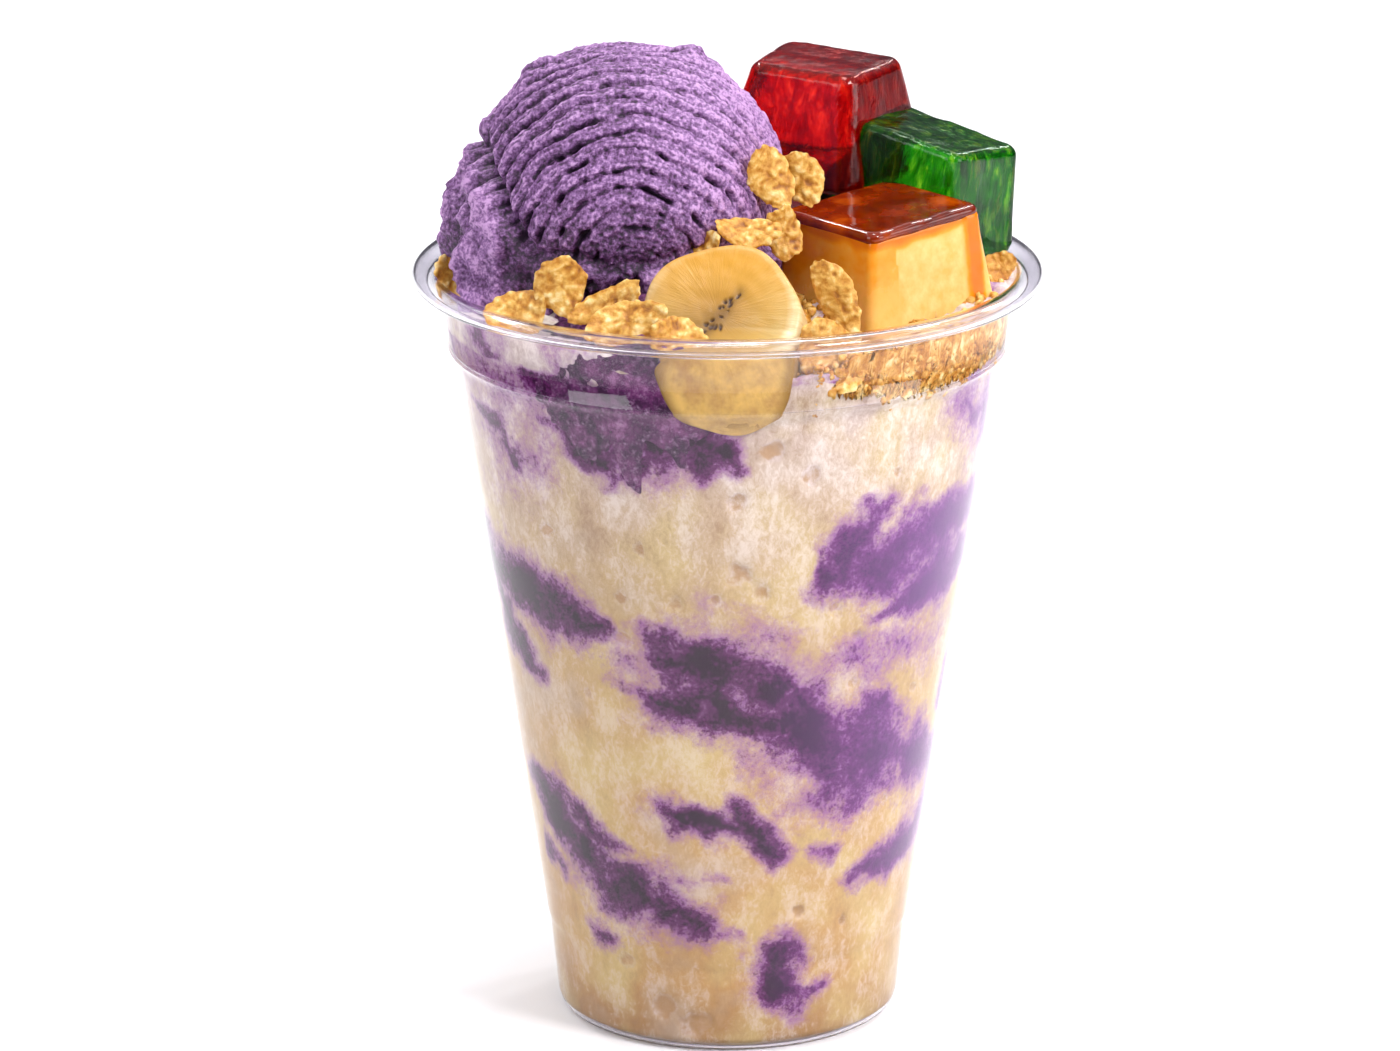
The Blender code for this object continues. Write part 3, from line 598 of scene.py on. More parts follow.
def toasted_corn():
    """Corn flake, rolled and toasted: dry, blistered and golden, with painted shade that makes it browner in its
    hollows.
    """
    material, tree, shader, place = new_finish("toasted_corn")
    tone_and_painted_light = add(tree, "Attribute", {"attribute_name": "tone_and_painted_light"}).outputs["Fac"]
    toast = add(
        tree, "TexNoise", inputs={"Vector": place, "Scale": per(3.4), "Detail": 5.0, "Roughness": 0.65})
    speck = add(
        tree, "TexNoise", inputs={"Vector": place, "Scale": per(0.7), "Detail": 4.0, "Roughness": 0.7})
    both = add(tree, "Math", {"operation": "ADD"}, {0: toast, 1: speck})
    tone = add(tree, "Math", {"operation": "MULTIPLY_ADD"}, {0: both, 1: 0.8, 2: -0.78})
    depth = add(tree, "Math", {"operation": "ADD"}, {0: tone_and_painted_light, 1: tone})
    colour = add(
        tree, "ValToRGB",
        {"stops": ((0.08, "#854a06"), (0.92, "#f4dc9e"), (0.36, "#ba7b1e"), (0.62, "#d9a84e"))},
        {"Fac": depth})
    blister = add(
        tree, "TexNoise", inputs={"Vector": place, "Scale": per(0.6), "Detail": 3.0, "Roughness": 0.6})
    relief = add(tree, "Bump", inputs={"Height": blister, "Strength": 0.6, "Distance": 0.25 * MM})
    set_shader(tree, shader, Base_Color=colour, Roughness=0.5, Normal=relief)
    return material


# ---- cup ------------------------------------------------------------------------------------------


def rounded(points, size, steps=5):
    """An outline with each inner corner replaced by a short curve that starts size mm before it."""
    points = [np.array(p, dtype=float) for p in points]
    made = [points[0]]
    for before, corner, after in zip(points, points[1:], points[2:]):
        start = corner + (before - corner) * min(size / np.linalg.norm(before - corner), 0.45)
        end = corner + (after - corner) * min(size / np.linalg.norm(after - corner), 0.45)
        for t in np.linspace(0, 1, steps):
            made.append((1 - t) ** 2 * start + 2 * t * (1 - t) * corner + t * t * end)
    return np.array(made + [points[-1]])


def cup_outline():
    """The sheet from the rolled rim's tucked-in end over its top and down the wall to the foot's middle."""
    middle, height = RIM_RADIUS - BEAD_HALF_WIDTH, CUP_HEIGHT - BEAD_HALF_HEIGHT
    across, up = BEAD_HALF_WIDTH - CUP_WALL, BEAD_HALF_HEIGHT - CUP_WALL
    turns = np.linspace(BEAD_START, BEAD_END, 26)
    bead = np.stack([middle + across * np.cos(turns), height + up * np.sin(turns)], axis=-1)
    upper = rounded([bead[-1], WALL[0], STACK_RIDGE[0]], CUP_CORNER)
    lower = rounded([STACK_RIDGE[-1], *WALL[2:], *FOOT, (0, PUNT_HEIGHT)], CUP_CORNER)
    wall = np.concatenate([upper, STACK_RIDGE[1:-1], lower])
    return np.concatenate([bead[:-1], wall])


def sheet_outline(outline, thickness):
    """The closed outline of a sheet whose thickness lies to the right of its path."""
    path = np.gradient(outline, axis=0)
    path /= np.linalg.norm(path, axis=1, keepdims=True)
    side = outline + thickness * np.stack([path[:, 1], -path[:, 0]], axis=-1)
    side[-1, 0] = 0
    return np.concatenate([side[::-1], outline])


def inner_radius(height):
    """The radius of the cup's inner face at a height."""
    heights = [z for r, z in WALL[::-1]]
    radii = [r - CUP_WALL for r, z in WALL[::-1]]
    return np.interp(height, heights, radii)


def make_cup():
    points, faces = turned(sheet_outline(cup_outline(), CUP_WALL), 288)
    add_piece("clear_cup", new_mesh("clear_cup", points, faces), clear_pet(), "clear_plastic", "cup")


# ---- filling --------------------------------------------------------------------------------------


def heap_height(x, y):
    """The height of the ice heap's surface over a point."""
    radius = np.hypot(x, y) / inner_radius(FILL_EDGE)
    back = np.hypot(x - BACK_RISE_CENTRE[0], y - BACK_RISE_CENTRE[1])
    front = np.hypot(x - FRONT_DIP_CENTRE[0], y - FRONT_DIP_CENTRE[1])
    flan = np.hypot(x - FLAN_DIP_CENTRE[0], y - FLAN_DIP_CENTRE[1])
    rise = (1 - np.minimum(radius, 1) ** 3) * (HEAP_RISE + BACK_RISE * hump(back, BACK_RISE_SPREAD))
    dip = FRONT_DIP * hump(front, FRONT_DIP_SPREAD) + FLAN_DIP * hump(flan, FLAN_DIP_SPREAD)
    return FILL_EDGE + rise - dip


def wall_place(points):
    """Angles from the front in degrees, and heights."""
    return np.degrees(np.arctan2(points[:, 0], -points[:, 1])), points[:, 2]


def streak_amount(points, streaks):
    """How deep inside a yam streak each point is: 1 at its middle, 0 at its edge and less outside."""
    angle, height = wall_place(points)
    angle = angle + 4.5 * bumps(points, 6, 3) + 2.2 * bumps(points, 2.4, 4)
    height = height + 2.0 * bumps(points, 6, 5) + 1.0 * bumps(points, 2.4, 6)
    blot = 0.4 * bumps(points, 5.5, 11) + 0.3 * bumps(points, 2.6, 12)
    best = np.full(len(points), -1.5)
    for streak in streaks:
        for (a0, z0, w0), (a1, z1, w1) in zip(streak, streak[1:]):
            to_mm = math.radians(1) * inner_radius((z0 + z1) / 2)
            run = np.array(((a1 - a0) * to_mm, z1 - z0))
            off = np.stack([((angle - a0 + 180) % 360 - 180) * to_mm, height - z0], axis=-1)
            share = np.clip(off @ run / (run @ run), 0, 1)
            distance = np.linalg.norm(off - share[:, None] * run, axis=1)
            width = 1.35 * (w0 + (w1 - w0) * share)
            best = np.maximum(best, (width - distance) / np.maximum(width, 2.5))
    return best + np.where(best > -1.2, blot, 0)


def back_streaks():
    """Bands that carry the marbling round the back of the cup, falling to the right as the front's do."""
    made = []
    for start, top, width in BACK_BANDS:
        band = []
        for i in range(5):
            height = top - 3.4 * i + 2.5 * math.sin(i * 1.9 + start)
            half_width = max(width * (0.5 + 0.5 * math.sin(0.6 + i * 0.8)), 0.6)
            band.append((start + 14 * i, height, half_width))
        made.append(band)
    return made


def hollow_amount(points):
    angle, height = wall_place(points)
    back = [(float(a), float(z), float(r)) for a, z, r in zip(
        RNG.uniform(88, 270, 26), RNG.uniform(6, 104, 26), RNG.uniform(0.7, 1.8, 26))]
    wobble = 1 + 0.55 * bumps(points, 1.7, 8) + 0.3 * bumps(points, 0.8, 9)
    amount = np.zeros(len(points))
    for a, z, r in (*HOLLOWS, *back):
        across = ((angle - a + 180) % 360 - 180) * math.radians(1) * inner_radius(z)
        distance = np.hypot(across, height - z) / (r * wobble)
        amount = np.maximum(amount, 1 - ramp(distance, 0.45, 1.15))
    return amount


def make_filling():
    """Ice from the middle of its heap out to the wall, down the wall and back under to the middle."""
    around, top_rings, wall_rings = 400, 44, 170
    top_grain, top_grain_size = 0.9, 2.6
    edge = inner_radius(FILL_EDGE) + SINK
    angles = np.linspace(0, 2 * np.pi, around, endpoint=False)
    top = np.linspace(0, edge, top_rings + 1)[1:-1]
    floor = [(25.4, 1.3), (24.4, 0.45), (23.0, 0.45), (20.2, 2.95), (10.0, 2.95)]
    x, y = top[:, None] * np.sin(angles), -top[:, None] * np.cos(angles)
    rings = [np.stack([x, y, heap_height(x, y)], axis=-1).reshape(-1, 3)]
    edge_x, edge_y = edge * np.sin(angles), -edge * np.cos(angles)
    edge_height = heap_height(edge_x, edge_y)
    low = WALL[-1][1]
    for share in np.linspace(0, 1, wall_rings):
        height = edge_height + (low - edge_height) * share
        radius = inner_radius(height) + SINK
        rings.append(np.stack([radius * np.sin(angles), -radius * np.cos(angles), height], axis=-1))
    for radius, height in floor:
        rings.append(np.stack([radius * np.sin(angles), -radius * np.cos(angles), height + 0 * angles], axis=-1))
    middle = heap_height(np.zeros(1), np.zeros(1))[0]
    points = np.concatenate([[(0, 0, middle)], *rings, [(0, 0, floor[-1][1])]])
    faces = ring_faces(len(top) + wall_rings + len(floor), around)

    reach = np.hypot(points[:, 0], points[:, 1])
    on_top = (points[:, 2] > edge_height.min() - 0.1) & (reach < edge - 0.1)
    points[:, 2] += np.where(on_top, top_grain * rough(points, top_grain_size, 3, 1), 0)
    on_wall = ~on_top & (points[:, 2] > low)
    hollow = np.where(on_wall, hollow_amount(points), 0)
    yam = streak_amount(points, (*STREAKS, *back_streaks()))
    yam = np.maximum(yam, 0.5 * streak_amount(points, HAZES) - 0.42)
    melt = 0.9 * rough(points, 7, 3, 2) - 0.25
    yam = np.where(on_top, melt, yam)
    points[:, :2] *= (1 - 0.5 * hollow / np.maximum(reach, 1))[:, None]
    mesh = new_mesh("shaved_ice", points, faces, {"yam": yam, "hollow": hollow})
    add_piece("shaved_ice", mesh, milky_ice(), "shaved_ice", "milky_ice")


def lump_points(lump, rings, around, wobble, seed):
    """A rough flattened lump."""
    centre, radii = np.array(lump[0]), np.array(lump[1])
    ways, faces = ball_ways(rings, around)
    points = centre + ways * radii
    size = 1 + (wobble * rough(points, 3.2, 3, seed) / radii.min())[:, None]
    points = centre + (points - centre) * size
    return points, faces


def pressed(points, deeper=0.1):
    """The points, with those beyond the cup's inner face brought back to just inside its wall."""
    reach = np.hypot(points[:, 0], points[:, 1])
    limit = inner_radius(points[:, 2]) + SINK + deeper
    share = np.minimum(1, limit / np.maximum(reach, 1))
    points[:, :2] *= share[:, None]
    return points


def make_jam():
    points, faces = lump_points(YAM_JAM, 170, 240, 1.3, 21)
    angle, height = wall_place(points)
    depth = np.clip((YAM_JAM[0][2] - height) / YAM_JAM[1][2], 0, 1)
    for place, drip, width in JAM_DRIPS:
        off = np.abs(angle - place + 1.5 * bumps(points, 3, 22))
        points[:, 2] -= drip * depth * (1 - ramp(off, 0.35 * width, width))
    add_piece("jam_layer", new_mesh("jam_layer", pressed(points), faces), yam_jam(), "yam_jam", "ube_jam")


def bed_height(x, y):
    """The crumb bed's surface over a point, banked up against the wall."""
    centre, radii = CRUMB_BED
    inside = 1 - ((x - centre[0]) / radii[0]) ** 2 - ((y - centre[1]) / radii[1]) ** 2
    mound = centre[2] + radii[2] * np.sqrt(np.clip(inside, 0, 1))
    bank = ramp(np.hypot(x, y), *BANK_REACH) * ramp(inside, -0.1, 0.15)
    return mound + np.maximum(BANK_TOP - mound, 0) * bank


def make_crumb_bed(finish):
    points, faces = lump_points(CRUMB_BED, 150, 220, 0.5, 31)
    grain = np.abs(rough(points, 1.3, 2, 33))
    raised = ramp(points[:, 2] - CRUMB_BED[0][2], 0.0, 0.8)
    level = bed_height(points[:, 0], points[:, 1])
    points[:, 2] += raised * (level - points[:, 2]) + np.where(raised > 0.5, 0.9, -2.2) * grain
    points = pressed(points)
    mesh = new_mesh("crumb_bed", points, faces, {"tone_and_painted_light": 0.22 + 0.8 * np.abs(rough(points, 1.6, 2, 34))})
    add_piece("crumb_bed", mesh, finish, "flake_crumbs", "crushed_flakes")


def crumb_shapes(places, sizes, seed):
    """Small rough crumbs, joined as one mesh."""
    ways, faces = ball_ways(7, 10)
    points, all_faces, tone_and_painted_light = [], [], []
    for i, (place, size) in enumerate(zip(places, sizes)):
        shape = ways * (1 + 0.45 * rough(ways * 2 + i * 3.7, 1.1, 2, seed))[:, None]
        shape = shape * (1, 0.85, 0.65) * size / 2
        turn = np.array(Euler(RNG.uniform(0, 6.28, 3)).to_matrix())
        shift = len(ways) * i
        points.append(shape @ turn.T + place)
        all_faces += [tuple(v + shift for v in face) for face in faces]
        tone_and_painted_light.append(0.52 + 0.35 * bumps(shape, 0.8, i))
    return np.concatenate(points), all_faces, np.concatenate(tone_and_painted_light)


def make_loose_crumbs(finish):
    """Crumbs on the bed round the flan's foot and against the wall."""
    centre, radii = CRUMB_BED
    count, wall_count = 620, 260
    x = RNG.uniform(centre[0] - 17, centre[0] + 19, count)
    y = RNG.uniform(centre[1] - 20, centre[1] + 25, count)
    reach = np.hypot(x, y)
    x, y = x[reach < 42.5], y[reach < 42.5]
    z = np.maximum(bed_height(x, y), heap_height(x, y)) + 0.25
    places = np.stack([x, y, z], axis=-1)
    sizes = RNG.uniform(0.8, 2.3, len(places))
    wall_angles = np.radians(RNG.uniform(17, 80, wall_count))
    wall_heights = RNG.triangular(106.5, 114.0, 117.0, wall_count)
    wall_reach = inner_radius(wall_heights) - 0.35
    wall_places = np.stack(
        [wall_reach * np.sin(wall_angles), -wall_reach * np.cos(wall_angles), wall_heights], axis=-1)
    places = np.concatenate([places, wall_places])
    sizes = np.concatenate([sizes, RNG.uniform(0.9, 2.2, wall_count)])
    points, faces, tone_and_painted_light = crumb_shapes(places, sizes, 5)
    mesh = new_mesh("loose_crumbs", pressed(points, 0.3), faces, {"tone_and_painted_light": tone_and_painted_light})
    add_piece("loose_crumbs", mesh, finish, "flake_crumbs")


# ---- ice cream ------------------------------------------------------------------------------------


def pole_frame():
    """Columns: the way to the right, the way up and the way to the front pole that the ridges ring."""
    pole = Vector((0, -math.cos(RIDGE_POLE_DIP), -math.sin(RIDGE_POLE_DIP)))
    pole.rotate(Euler((0, 0, RIDGE_POLE_TURN)))
    right = Vector((0, 0, 1)).cross(pole).normalized()
    return np.stack([right, pole.cross(right), pole], axis=-1)


def make_scoop():
    rings, around = 300, 330
    local, faces = ball_ways(rings, around)
    ways = local @ pole_frame().T
    turn = np.degrees(np.arccos(np.clip(local[:, 2], -1, 1)))
    side, rise = local[:, 0], local[:, 1]
    skin = ways * SCOOP_RADIUS
    left, above = ramp(-side, 0.15, 0.6), ramp(rise, -0.2, 0.15)
    outer = ramp(turn, 36, 58)

    phase = turn / 180 * RIDGE_COUNT + 0.45 * bumps(skin, 13, 40) + 0.25 * bumps(skin, 5, 41)
    phase += 0.1 * bumps(skin, 2, 42)
    share = phase - np.floor(phase)
    band = np.floor(phase)
    saw = np.where(share < 0.12, share / 0.12, (1 - share) / 0.88)
    broken = ramp(bumps(skin + band[:, None] * 3.1, 5.5, 43), -0.5, 0.4)
    folded = left * outer
    depth = (0.06 + 0.55 * above * broken) * ramp(turn, 3, 20) + 0.6 * folded
    ridge = depth * (saw - 0.5)
    groove = np.minimum(share, 1 - share)
    crease = hump(groove, 0.12) * (1.1 * folded + 0.35 * above)
    crease *= ramp(bumps(skin + band[:, None] * 5.3, 8, 53), -0.3, 0.5)
    lines = 0.06 * (above + folded) * np.sin(2 * np.pi * (3.0 * phase + 0.6 * bumps(skin, 1.8, 50)))
    lip = np.maximum(1 - share / 0.2, 0) + np.maximum((share - 0.8) / 0.2, 0)
    torn_lip = ramp(bumps(skin, 1.7, 44), 0.0, 0.4) * ramp(bumps(skin, 6, 56), -0.6, 0.2)
    pit = 1.7 * lip * torn_lip * above * ramp(turn, 4, 16) * (1 - 0.8 * outer * (side > 0))
    grain = 0.20 * bumps(skin, 0.9, 45) + 0.16 * bumps(skin, 0.5, 46)
    lump = 0.5 * bumps(skin, 8, 47)

    offset = 0.7 + ridge + lines - crease - pit + lump
    # The tone is lighter on the lips and raised lines and darker in the pits and creases: painted highlight and
    # painted shade.
    tone_and_painted_light = 0.54 + 0.45 * (saw - 0.5) * np.clip(depth, 0, 1) - 0.6 * pit - 0.5 * crease + 2.0 * lines
    # Painted light makes it lighter towards the right; painted shade makes it darker near the front pole and
    # towards the bottom.
    tone_and_painted_light += 0.26 * ramp(ways[:, 0], -0.1, 0.8)
    tone_and_painted_light -= 0.12 * ramp(-turn, -45, -10) + 0.1 * ramp(-ways[:, 2], -0.35, 0.4)

    flat = ways * (1, 1, 0)
    flat /= np.maximum(np.linalg.norm(flat, axis=1, keepdims=True), 1e-6)
    level = np.arcsin(np.clip(ways[:, 2], -1, 1))
    ragged = rough(flat * SCOOP_RADIUS, 9, 3, 48)
    below = SKIRT_EDGE + SKIRT_EDGE_RISE * ramp(-flat[:, 0], 0.5, 1.05) - level + 0.05 * rough(skin, 5, 3, 54)
    torn = ramp(below, 0, math.radians(6))
    leftness = ramp(-flat[:, 0], 0.1, 0.85)
    width = SKIRT_WIDTH + SKIRT_LEFT_WIDTH * leftness * (0.05 + 0.95 * ramp(below, 0.15, 0.75))
    skirt = width * torn * (1 + 0.3 * ragged) * ramp(level, 1.6 * SKIRT_FOOT, SKIRT_FOOT)
    slanted = (flat * SCOOP_RADIUS + (0, 0, 0.15) * skin) + 0.6 * bumps(skin, 4, 55)[:, None]
    folds = np.abs(bumps(slanted, 2.9, 51))
    tear = rough(skin, 2.2, 3, 49)
    seam = hump(below + 0.01, 0.045) * (0.35 + 0.65 * leftness)
    fold = np.minimum(folds, 0.36)
    torn_offset = 0.9 * tear + 5.0 * fold - 1.1
    offset = offset * (1 - torn) + skirt + torn * torn_offset - 1.3 * seam + grain
    # On the torn skirt the tone is lighter where it bulges and darker in its folds, painted shade, and the seam
    # under the ball carries a painted shadow.
    torn_tone_and_painted_light = 0.42 + 0.18 * tear + 1.9 * (fold - 0.2)
    tone_and_painted_light = tone_and_painted_light * (1 - torn) + torn * torn_tone_and_painted_light - 0.3 * seam + grain
    for across, width, height in SCOOP_LUMPS:
        way = (math.cos(math.radians(across)), 0.0, math.sin(math.radians(across)))
        far = np.linalg.norm(ways - np.array(way), axis=1) * SCOOP_RADIUS
        offset += height * hump(far, width) * (1 + 0.4 * bumps(skin, 1.6, 52))
    points = SCOOP_CENTRE + ways * (SCOOP_RADIUS + offset)[:, None]
    mesh = new_mesh("ice_cream_scoop", points, faces, {"tone_and_painted_light": tone_and_painted_light})
    add_piece("ice_cream_scoop", mesh, yam_ice_cream(), "yam_ice_cream", "ube_scoop")


# ---- blocks ---------------------------------------------------------------------------------------


def rounded_box(half, upright, level, cuts):
    """A box of half sizes, with its upright and its level edges rounded."""
    bm = bmesh.new()
    bmesh.ops.create_cube(bm, size=2)
    bmesh.ops.subdivide_edges(bm, edges=bm.edges[:], cuts=cuts, use_grid_fill=True)
    points = np.array([v.co for v in bm.verts]) * half
    faces = [tuple(v.index for v in face.verts) for face in bm.faces]
    bm.free()

    def outside(p):
        flat = np.abs(p[:, :2]) - (half[:2] - upright)
        across = np.linalg.norm(np.maximum(flat, 0), axis=1) + np.minimum(flat.max(axis=1), 0) - upright
        both = np.stack([across, np.abs(p[:, 2]) - half[2]], axis=-1) + level
        return np.linalg.norm(np.maximum(both, 0), axis=1) + np.minimum(both.max(axis=1), 0) - level

    low, high = np.zeros(len(points)), np.ones(len(points)) * 1.01
    for _ in range(24):
        middle = (low + high) / 2
        out = outside(points * middle[:, None]) > 0
        low, high = np.where(out, low, middle), np.where(out, middle, high)
    return points * low[:, None], faces


def tapered(points, block, middle_share):
    """The box's points widened and shifted towards its foot, from shares of the block's height."""
    share = middle_share + points[:, 2] / block["height"]
    wide, deep = [(t + f * (1 - share)) / t for t, f in zip(block["top"], block["flare"])]
    made = points.copy()
    made[:, 0] *= wide * (1 + points[:, 1] / (block["top"][1] / 2) * block["splay"])
    made[:, 0] += block["shift"] * (1 - share)
    made[:, 1] *= deep
    made[:, 2] = (share - 0.5) * block["height"]
    return made


def make_block(name, node, block, finish, slot, upright, level, relief, low=0.0, high=1.0, grow=0.0):
    half = np.array((block["top"][0] / 2 + grow, block["top"][1] / 2 + grow, block["height"] * (high - low) / 2))
    points, faces = rounded_box(half, upright, level, 52)
    points = tapered(points, block, (low + high) / 2)
    normals = normals_of(points, faces)
    offset, marks = relief(points)
    points = points + normals * np.asarray(offset)[:, None]
    mesh = new_mesh(name, points, faces, marks)
    piece = add_piece(name, mesh, finish, slot, node)
    piece.matrix_world = placement(np.array(block["centre"]) * MM, block["turn"])


def jelly_relief(seed):
    """Shallow waves along the cut faces."""

    def relief(points):
        drawn = points * (1, 1, 0.35)
        return 0.19 * bumps(drawn, 3.4, seed) + 0.05 * bumps(drawn, 1.2, seed + 1), {}

    return relief


def flan_relief(points):
    """Syrup runs down from the top edge, at the front corner and near the right corner."""
    width, depth = FLAN["top"]
    down = FLAN["height"] / 2 - CARAMEL_THICKNESS - points[:, 2]
    x, y = points[:, 0] / (width / 2 + 1), points[:, 1] / (depth / 2 + 2)
    edge = 1 - ramp(down + 0.8 * bumps(points, 3, 61), 0.4, 3.2)
    front = hump(x - 1.05, 0.10) * hump(y + 1.05, 0.10) * (1 - ramp(down, 11, 16))
    right = (x > 0.5) * hump(y - 0.72, 0.13) * (1 - ramp(down, 13, 19)) * 1.2
    left = (y < -0.5) * (1 - 0.6 * ramp(down, 3, 14)) * (0.5 + 0.4 * hump(x + 0.9, 0.5))
    syrup = np.maximum.reduce([edge, front, right, left])
    raised = 0.3 * ramp(right, 0.3, 0.8) + 0.2 * ramp(front, 0.3, 0.8)
    return raised + 0.05 * bumps(points, 2, 62), {"syrup": syrup}


def caramel_relief(points):
    return 0.12 * bumps(points, 4, 71), {}


def make_blocks():
    # The last colour of each jelly is its painted glint.
    red = jelly("red_jelly", "#780002", "#ac0303", "#e83018")
    green = jelly("green_jelly", "#015001", "#118006", "#98d22a")
    make_block("red_cube", "jelly_red", RED_JELLY, red, "red_jelly", 2.6, 1.6, jelly_relief(51), grow=0.5)
    make_block(
        "green_cube", "jelly_green", GREEN_JELLY, green, "green_jelly", 2.0, 1.5, jelly_relief(53), grow=0.7)
    make_block("flan_body", "leche_flan", FLAN, flan_custard(), "flan", 1.2, 0.5, flan_relief,
               high=1 - CARAMEL_THICKNESS / FLAN["height"])
    make_block("flan_caramel", "caramel_top", FLAN, caramel_syrup(), "caramel", 1.8, 0.85, caramel_relief,
               low=1 - CARAMEL_SKIN / FLAN["height"], grow=0.3)


# ---- banana ---------------------------------------------------------------------------------------


def banana_seeds(points):
    """How dark each point is: a stained core across the face, with small seeds scattered along it."""
    core = np.array(BANANA_CORE)
    flat = points[:, :2] + 0.4 * np.stack([bumps(points, 1.2, 83), bumps(points, 1.2, 84)], axis=-1)
    amount = np.zeros(len(points))
    for start, end in zip(core, core[1:]):
        run = end - start
        share = np.clip((flat - start) @ run / (run @ run), 0, 1)
        far = np.linalg.norm(flat - start - share[:, None] * run, axis=1)
        amount = np.maximum(amount, 0.42 * hump(far, 1.1))
    for i in range(20):
        along = RNG.uniform(0, 2)
        start, end = core[int(along)], core[int(along) + 1]
        middle = start + (end - start) * (along % 1) + RNG.normal(0, 0.75, 2)
        amount = np.maximum(amount, 1.3 * hump(np.linalg.norm(flat - middle, axis=1), RNG.uniform(0.22, 0.45)))
    return np.where(points[:, 2] > -0.5, np.minimum(amount, 1), 0)


def make_banana():
    side = rounded([(share * BANANA_RADIUS, -deep * BANANA_THICKNESS) for share, deep in BANANA_SIDE], 2.6, 6)
    face = [(r, 0.25 * (1 - (r / side[0][0]) ** 2)) for r in np.linspace(0, side[0][0], 70)[:-1]]
    back = [(r, -BANANA_THICKNESS) for r in np.linspace(side[-1][0], 0, 8)[1:]]
    points, faces = turned(np.concatenate([face, side, back]), 260)
    seeds = banana_seeds(points)
    turn = np.arctan2(points[:, 1], points[:, 0])
    points[:, :2] *= (1 + BANANA_CORNER * np.cos(5 * turn))[:, None]
    points[:, 2] -= 0.35 * seeds
    slant = -points[:, 2:] / BANANA_THICKNESS * np.array(BANANA_SLANT)
    points[:, :2] += slant
    points += 0.08 * bumps(points, 1.8, 81)[:, None] * (0.5, 0.5, 1)
    place = placement(BANANA_FACE, BANANA_TURN)
    world = moved(points, place)
    share = np.clip((BANANA_PRESS_TOP - world[:, 2]) / BANANA_PRESS_DEPTH, 0, 1)
    off = (world[:, 0] - BANANA_FACE[0] - BANANA_SLANT[0] / 2) / BANANA_PRESS_WIDTH
    world[:, 1] -= BANANA_PRESS * share**2 * (3 - 2 * share) * np.clip(1 - off**2, 0, 1)
    beyond = np.hypot(world[:, 0], world[:, 1]) - inner_radius(world[:, 2])
    world = pressed(world, 0.3)
    points = moved(world, place.inverted())
    damp = ramp(share, 0.3, 0.9)
    # Painted shade: darker round the outline of the part pressed to the wall, where the slice curves away, and
    # lighter in its middle.
    outline_shade = damp * (1 - ramp(beyond + 0.6 * bumps(world, 2.5, 85), 0.3, 3.4))
    mesh = new_mesh("banana_round", points, faces, {"seed": seeds, "damp": damp, "outline_shade": outline_shade})
    piece = add_piece("banana_round", mesh, banana_flesh(), "banana", "banana_slice")
    piece.matrix_world = placement(np.array(BANANA_FACE) * MM, BANANA_TURN)


# ---- flakes ---------------------------------------------------------------------------------------


def make_flake(index, finish):
    """A curled oval sheet with a crinkled rim, blistered all over."""
    centre, turn, (length, width) = FLAKES[index]
    ways, faces = ball_ways(40, 90)
    seed = 100 + index * 5
    outline = 1 + 0.16 * bumps(ways * (1, 1, 0.3) * 1.2, 1, seed)
    outline += 0.07 * bumps(ways * (1, 1, 0.2) * 5, 1, seed + 1)
    points = ways * outline[:, None] * (length / 2, width / 2, FLAKE_THICKNESS / 2)
    points[:, 2] += FLAKE_CURL * (ways[:, 0] ** 2 - 0.4) + 0.25 * bumps(points * (1, 1, 0.1), 3.4, seed + 2)
    blister = 0.5 + 0.45 * bumps(points, 0.95, seed + 3) + 0.35 * bumps(points, 0.55, seed + 4)
    normals = normals_of(points, faces)
    points = points + normals * (0.45 * blister - 0.25)[:, None]
    # The tone is lighter on the blisters and darker between them: painted shade in the hollows.
    mesh = new_mesh(f"flake_{index + 1:02d}", points, faces, {"tone_and_painted_light": 0.18 + 0.6 * blister})
    piece = add_piece(mesh.name, mesh, finish, "corn_flake", f"corn_flake_{index + 1:02d}")
    piece.matrix_world = placement(np.array(centre) * MM, turn)


# ---- studio ---------------------------------------------------------------------------------------


def add_light(name, place, size, power):
    """A soft box, its width and height in metres, aimed at the cup's upper half."""
    lamp = bpy.data.lights.new(name, "AREA")
    lamp.shape = "RECTANGLE"
    lamp.size, lamp.size_y = size
    lamp.energy = power
    light = bpy.data.objects.new(name, lamp)
    bpy.context.scene.collection.objects.link(light)
    light.location = place
    aim = Vector((0, 0, 0.09)) - Vector(place)
    light.rotation_euler = aim.to_track_quat("-Z", "Y").to_euler()


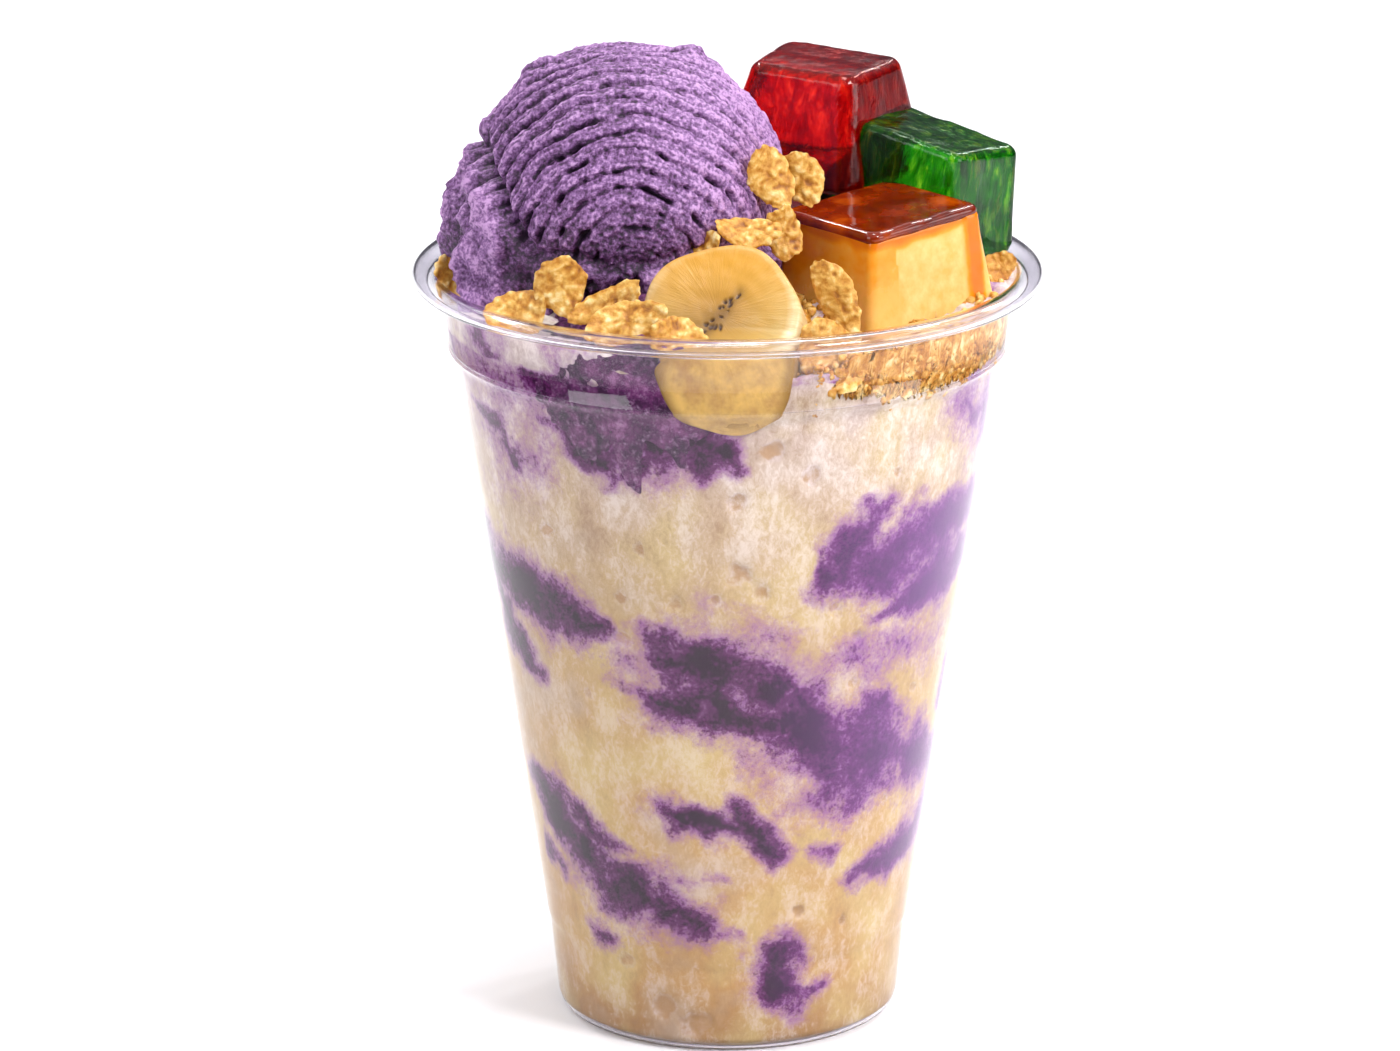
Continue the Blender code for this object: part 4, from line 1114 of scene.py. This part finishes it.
def make_studio():
    points = np.array([(-4000, -4000, 0), (4000, -4000, 0), (4000, 4000, 0), (-4000, 4000, 0)])
    floor = bpy.data.objects.new("floor", new_mesh("floor", points, [(0, 1, 2, 3)], smooth=False))
    bpy.context.scene.collection.objects.link(floor)
    material, tree, shader, place = new_finish("pale_floor")
    set_shader(tree, shader, Base_Color="#fdfcfe", Roughness=0.9)
    floor.data.materials.append(material)

    world = bpy.data.worlds.new("studio_air")
    world.use_nodes = True
    bpy.context.scene.world = world
    tree = world.node_tree
    way = add(tree, "TexCoord").outputs["Generated"]
    up = add(tree, "SeparateXYZ", inputs={"Vector": way}).outputs["Z"]
    sky = add(
        tree, "ValToRGB",
        {"stops": ((0.0, "#504e57"), (0.9, "#ffffff"), (0.3, "#605e68"), (0.55, "#dedce4"))}, {"Fac": up})
    air = tree.nodes["Background"]
    tree.links.new(sky.outputs["Color"], air.inputs["Color"])
    air.inputs["Strength"].default_value = 0.84

    add_light("key", (0.5, -0.45, 0.72), (0.22, 0.22), 5.0)
    add_light("top", (0.0, 0.0, 0.95), (0.2, 0.2), 2.6)
    add_light("strip_back", (0.08, 0.75, 0.73), (0.9, 0.04), 0.8)
    add_light("strip_right", (0.7, 0.12, 0.86), (0.7, 0.05), 0.8)
    add_light("strip_left", (-0.62, 0.3, 0.86), (0.6, 0.05), 0.8)
    add_light("fill_left", (-0.8, -0.6, 0.45), (0.5, 0.5), 3.6)
    add_light("side_right", (0.85, -0.3, 0.3), (0.4, 0.4), 2.6)
    add_light("glint_left", (-0.38, 0.55, 0.78), (0.08, 0.08), 1.3)
    add_light("glint_right", (0.4, 0.45, 0.87), (0.08, 0.08), 1.3)
    add_light("glint_back", (0.42, 0.7, 0.66), (0.08, 0.08), 1.2)
    bpy.context.scene.view_settings.view_transform = "Standard"


def make_camera():
    """A long lens, from a little above the rim, in front of the cup."""
    lens = bpy.data.cameras.new("camera")
    lens.lens, lens.sensor_width = 176.6, 36.0
    lens.shift_x = -0.0196
    lens.clip_end = 20
    camera = bpy.data.objects.new("camera", lens)
    bpy.context.scene.collection.objects.link(camera)
    camera.location = (0, -1.0343, 0.3871)
    camera.rotation_euler = (math.pi / 2 - 0.29, 0, 0)
    bpy.context.scene.camera = camera


def main():
    make_camera()
    make_studio()
    make_cup()
    make_filling()
    make_jam()
    corn = toasted_corn()
    make_crumb_bed(corn)
    make_loose_crumbs(corn)
    make_scoop()
    make_blocks()
    make_banana()
    for index in range(len(FLAKES)):
        make_flake(index, corn)


main()
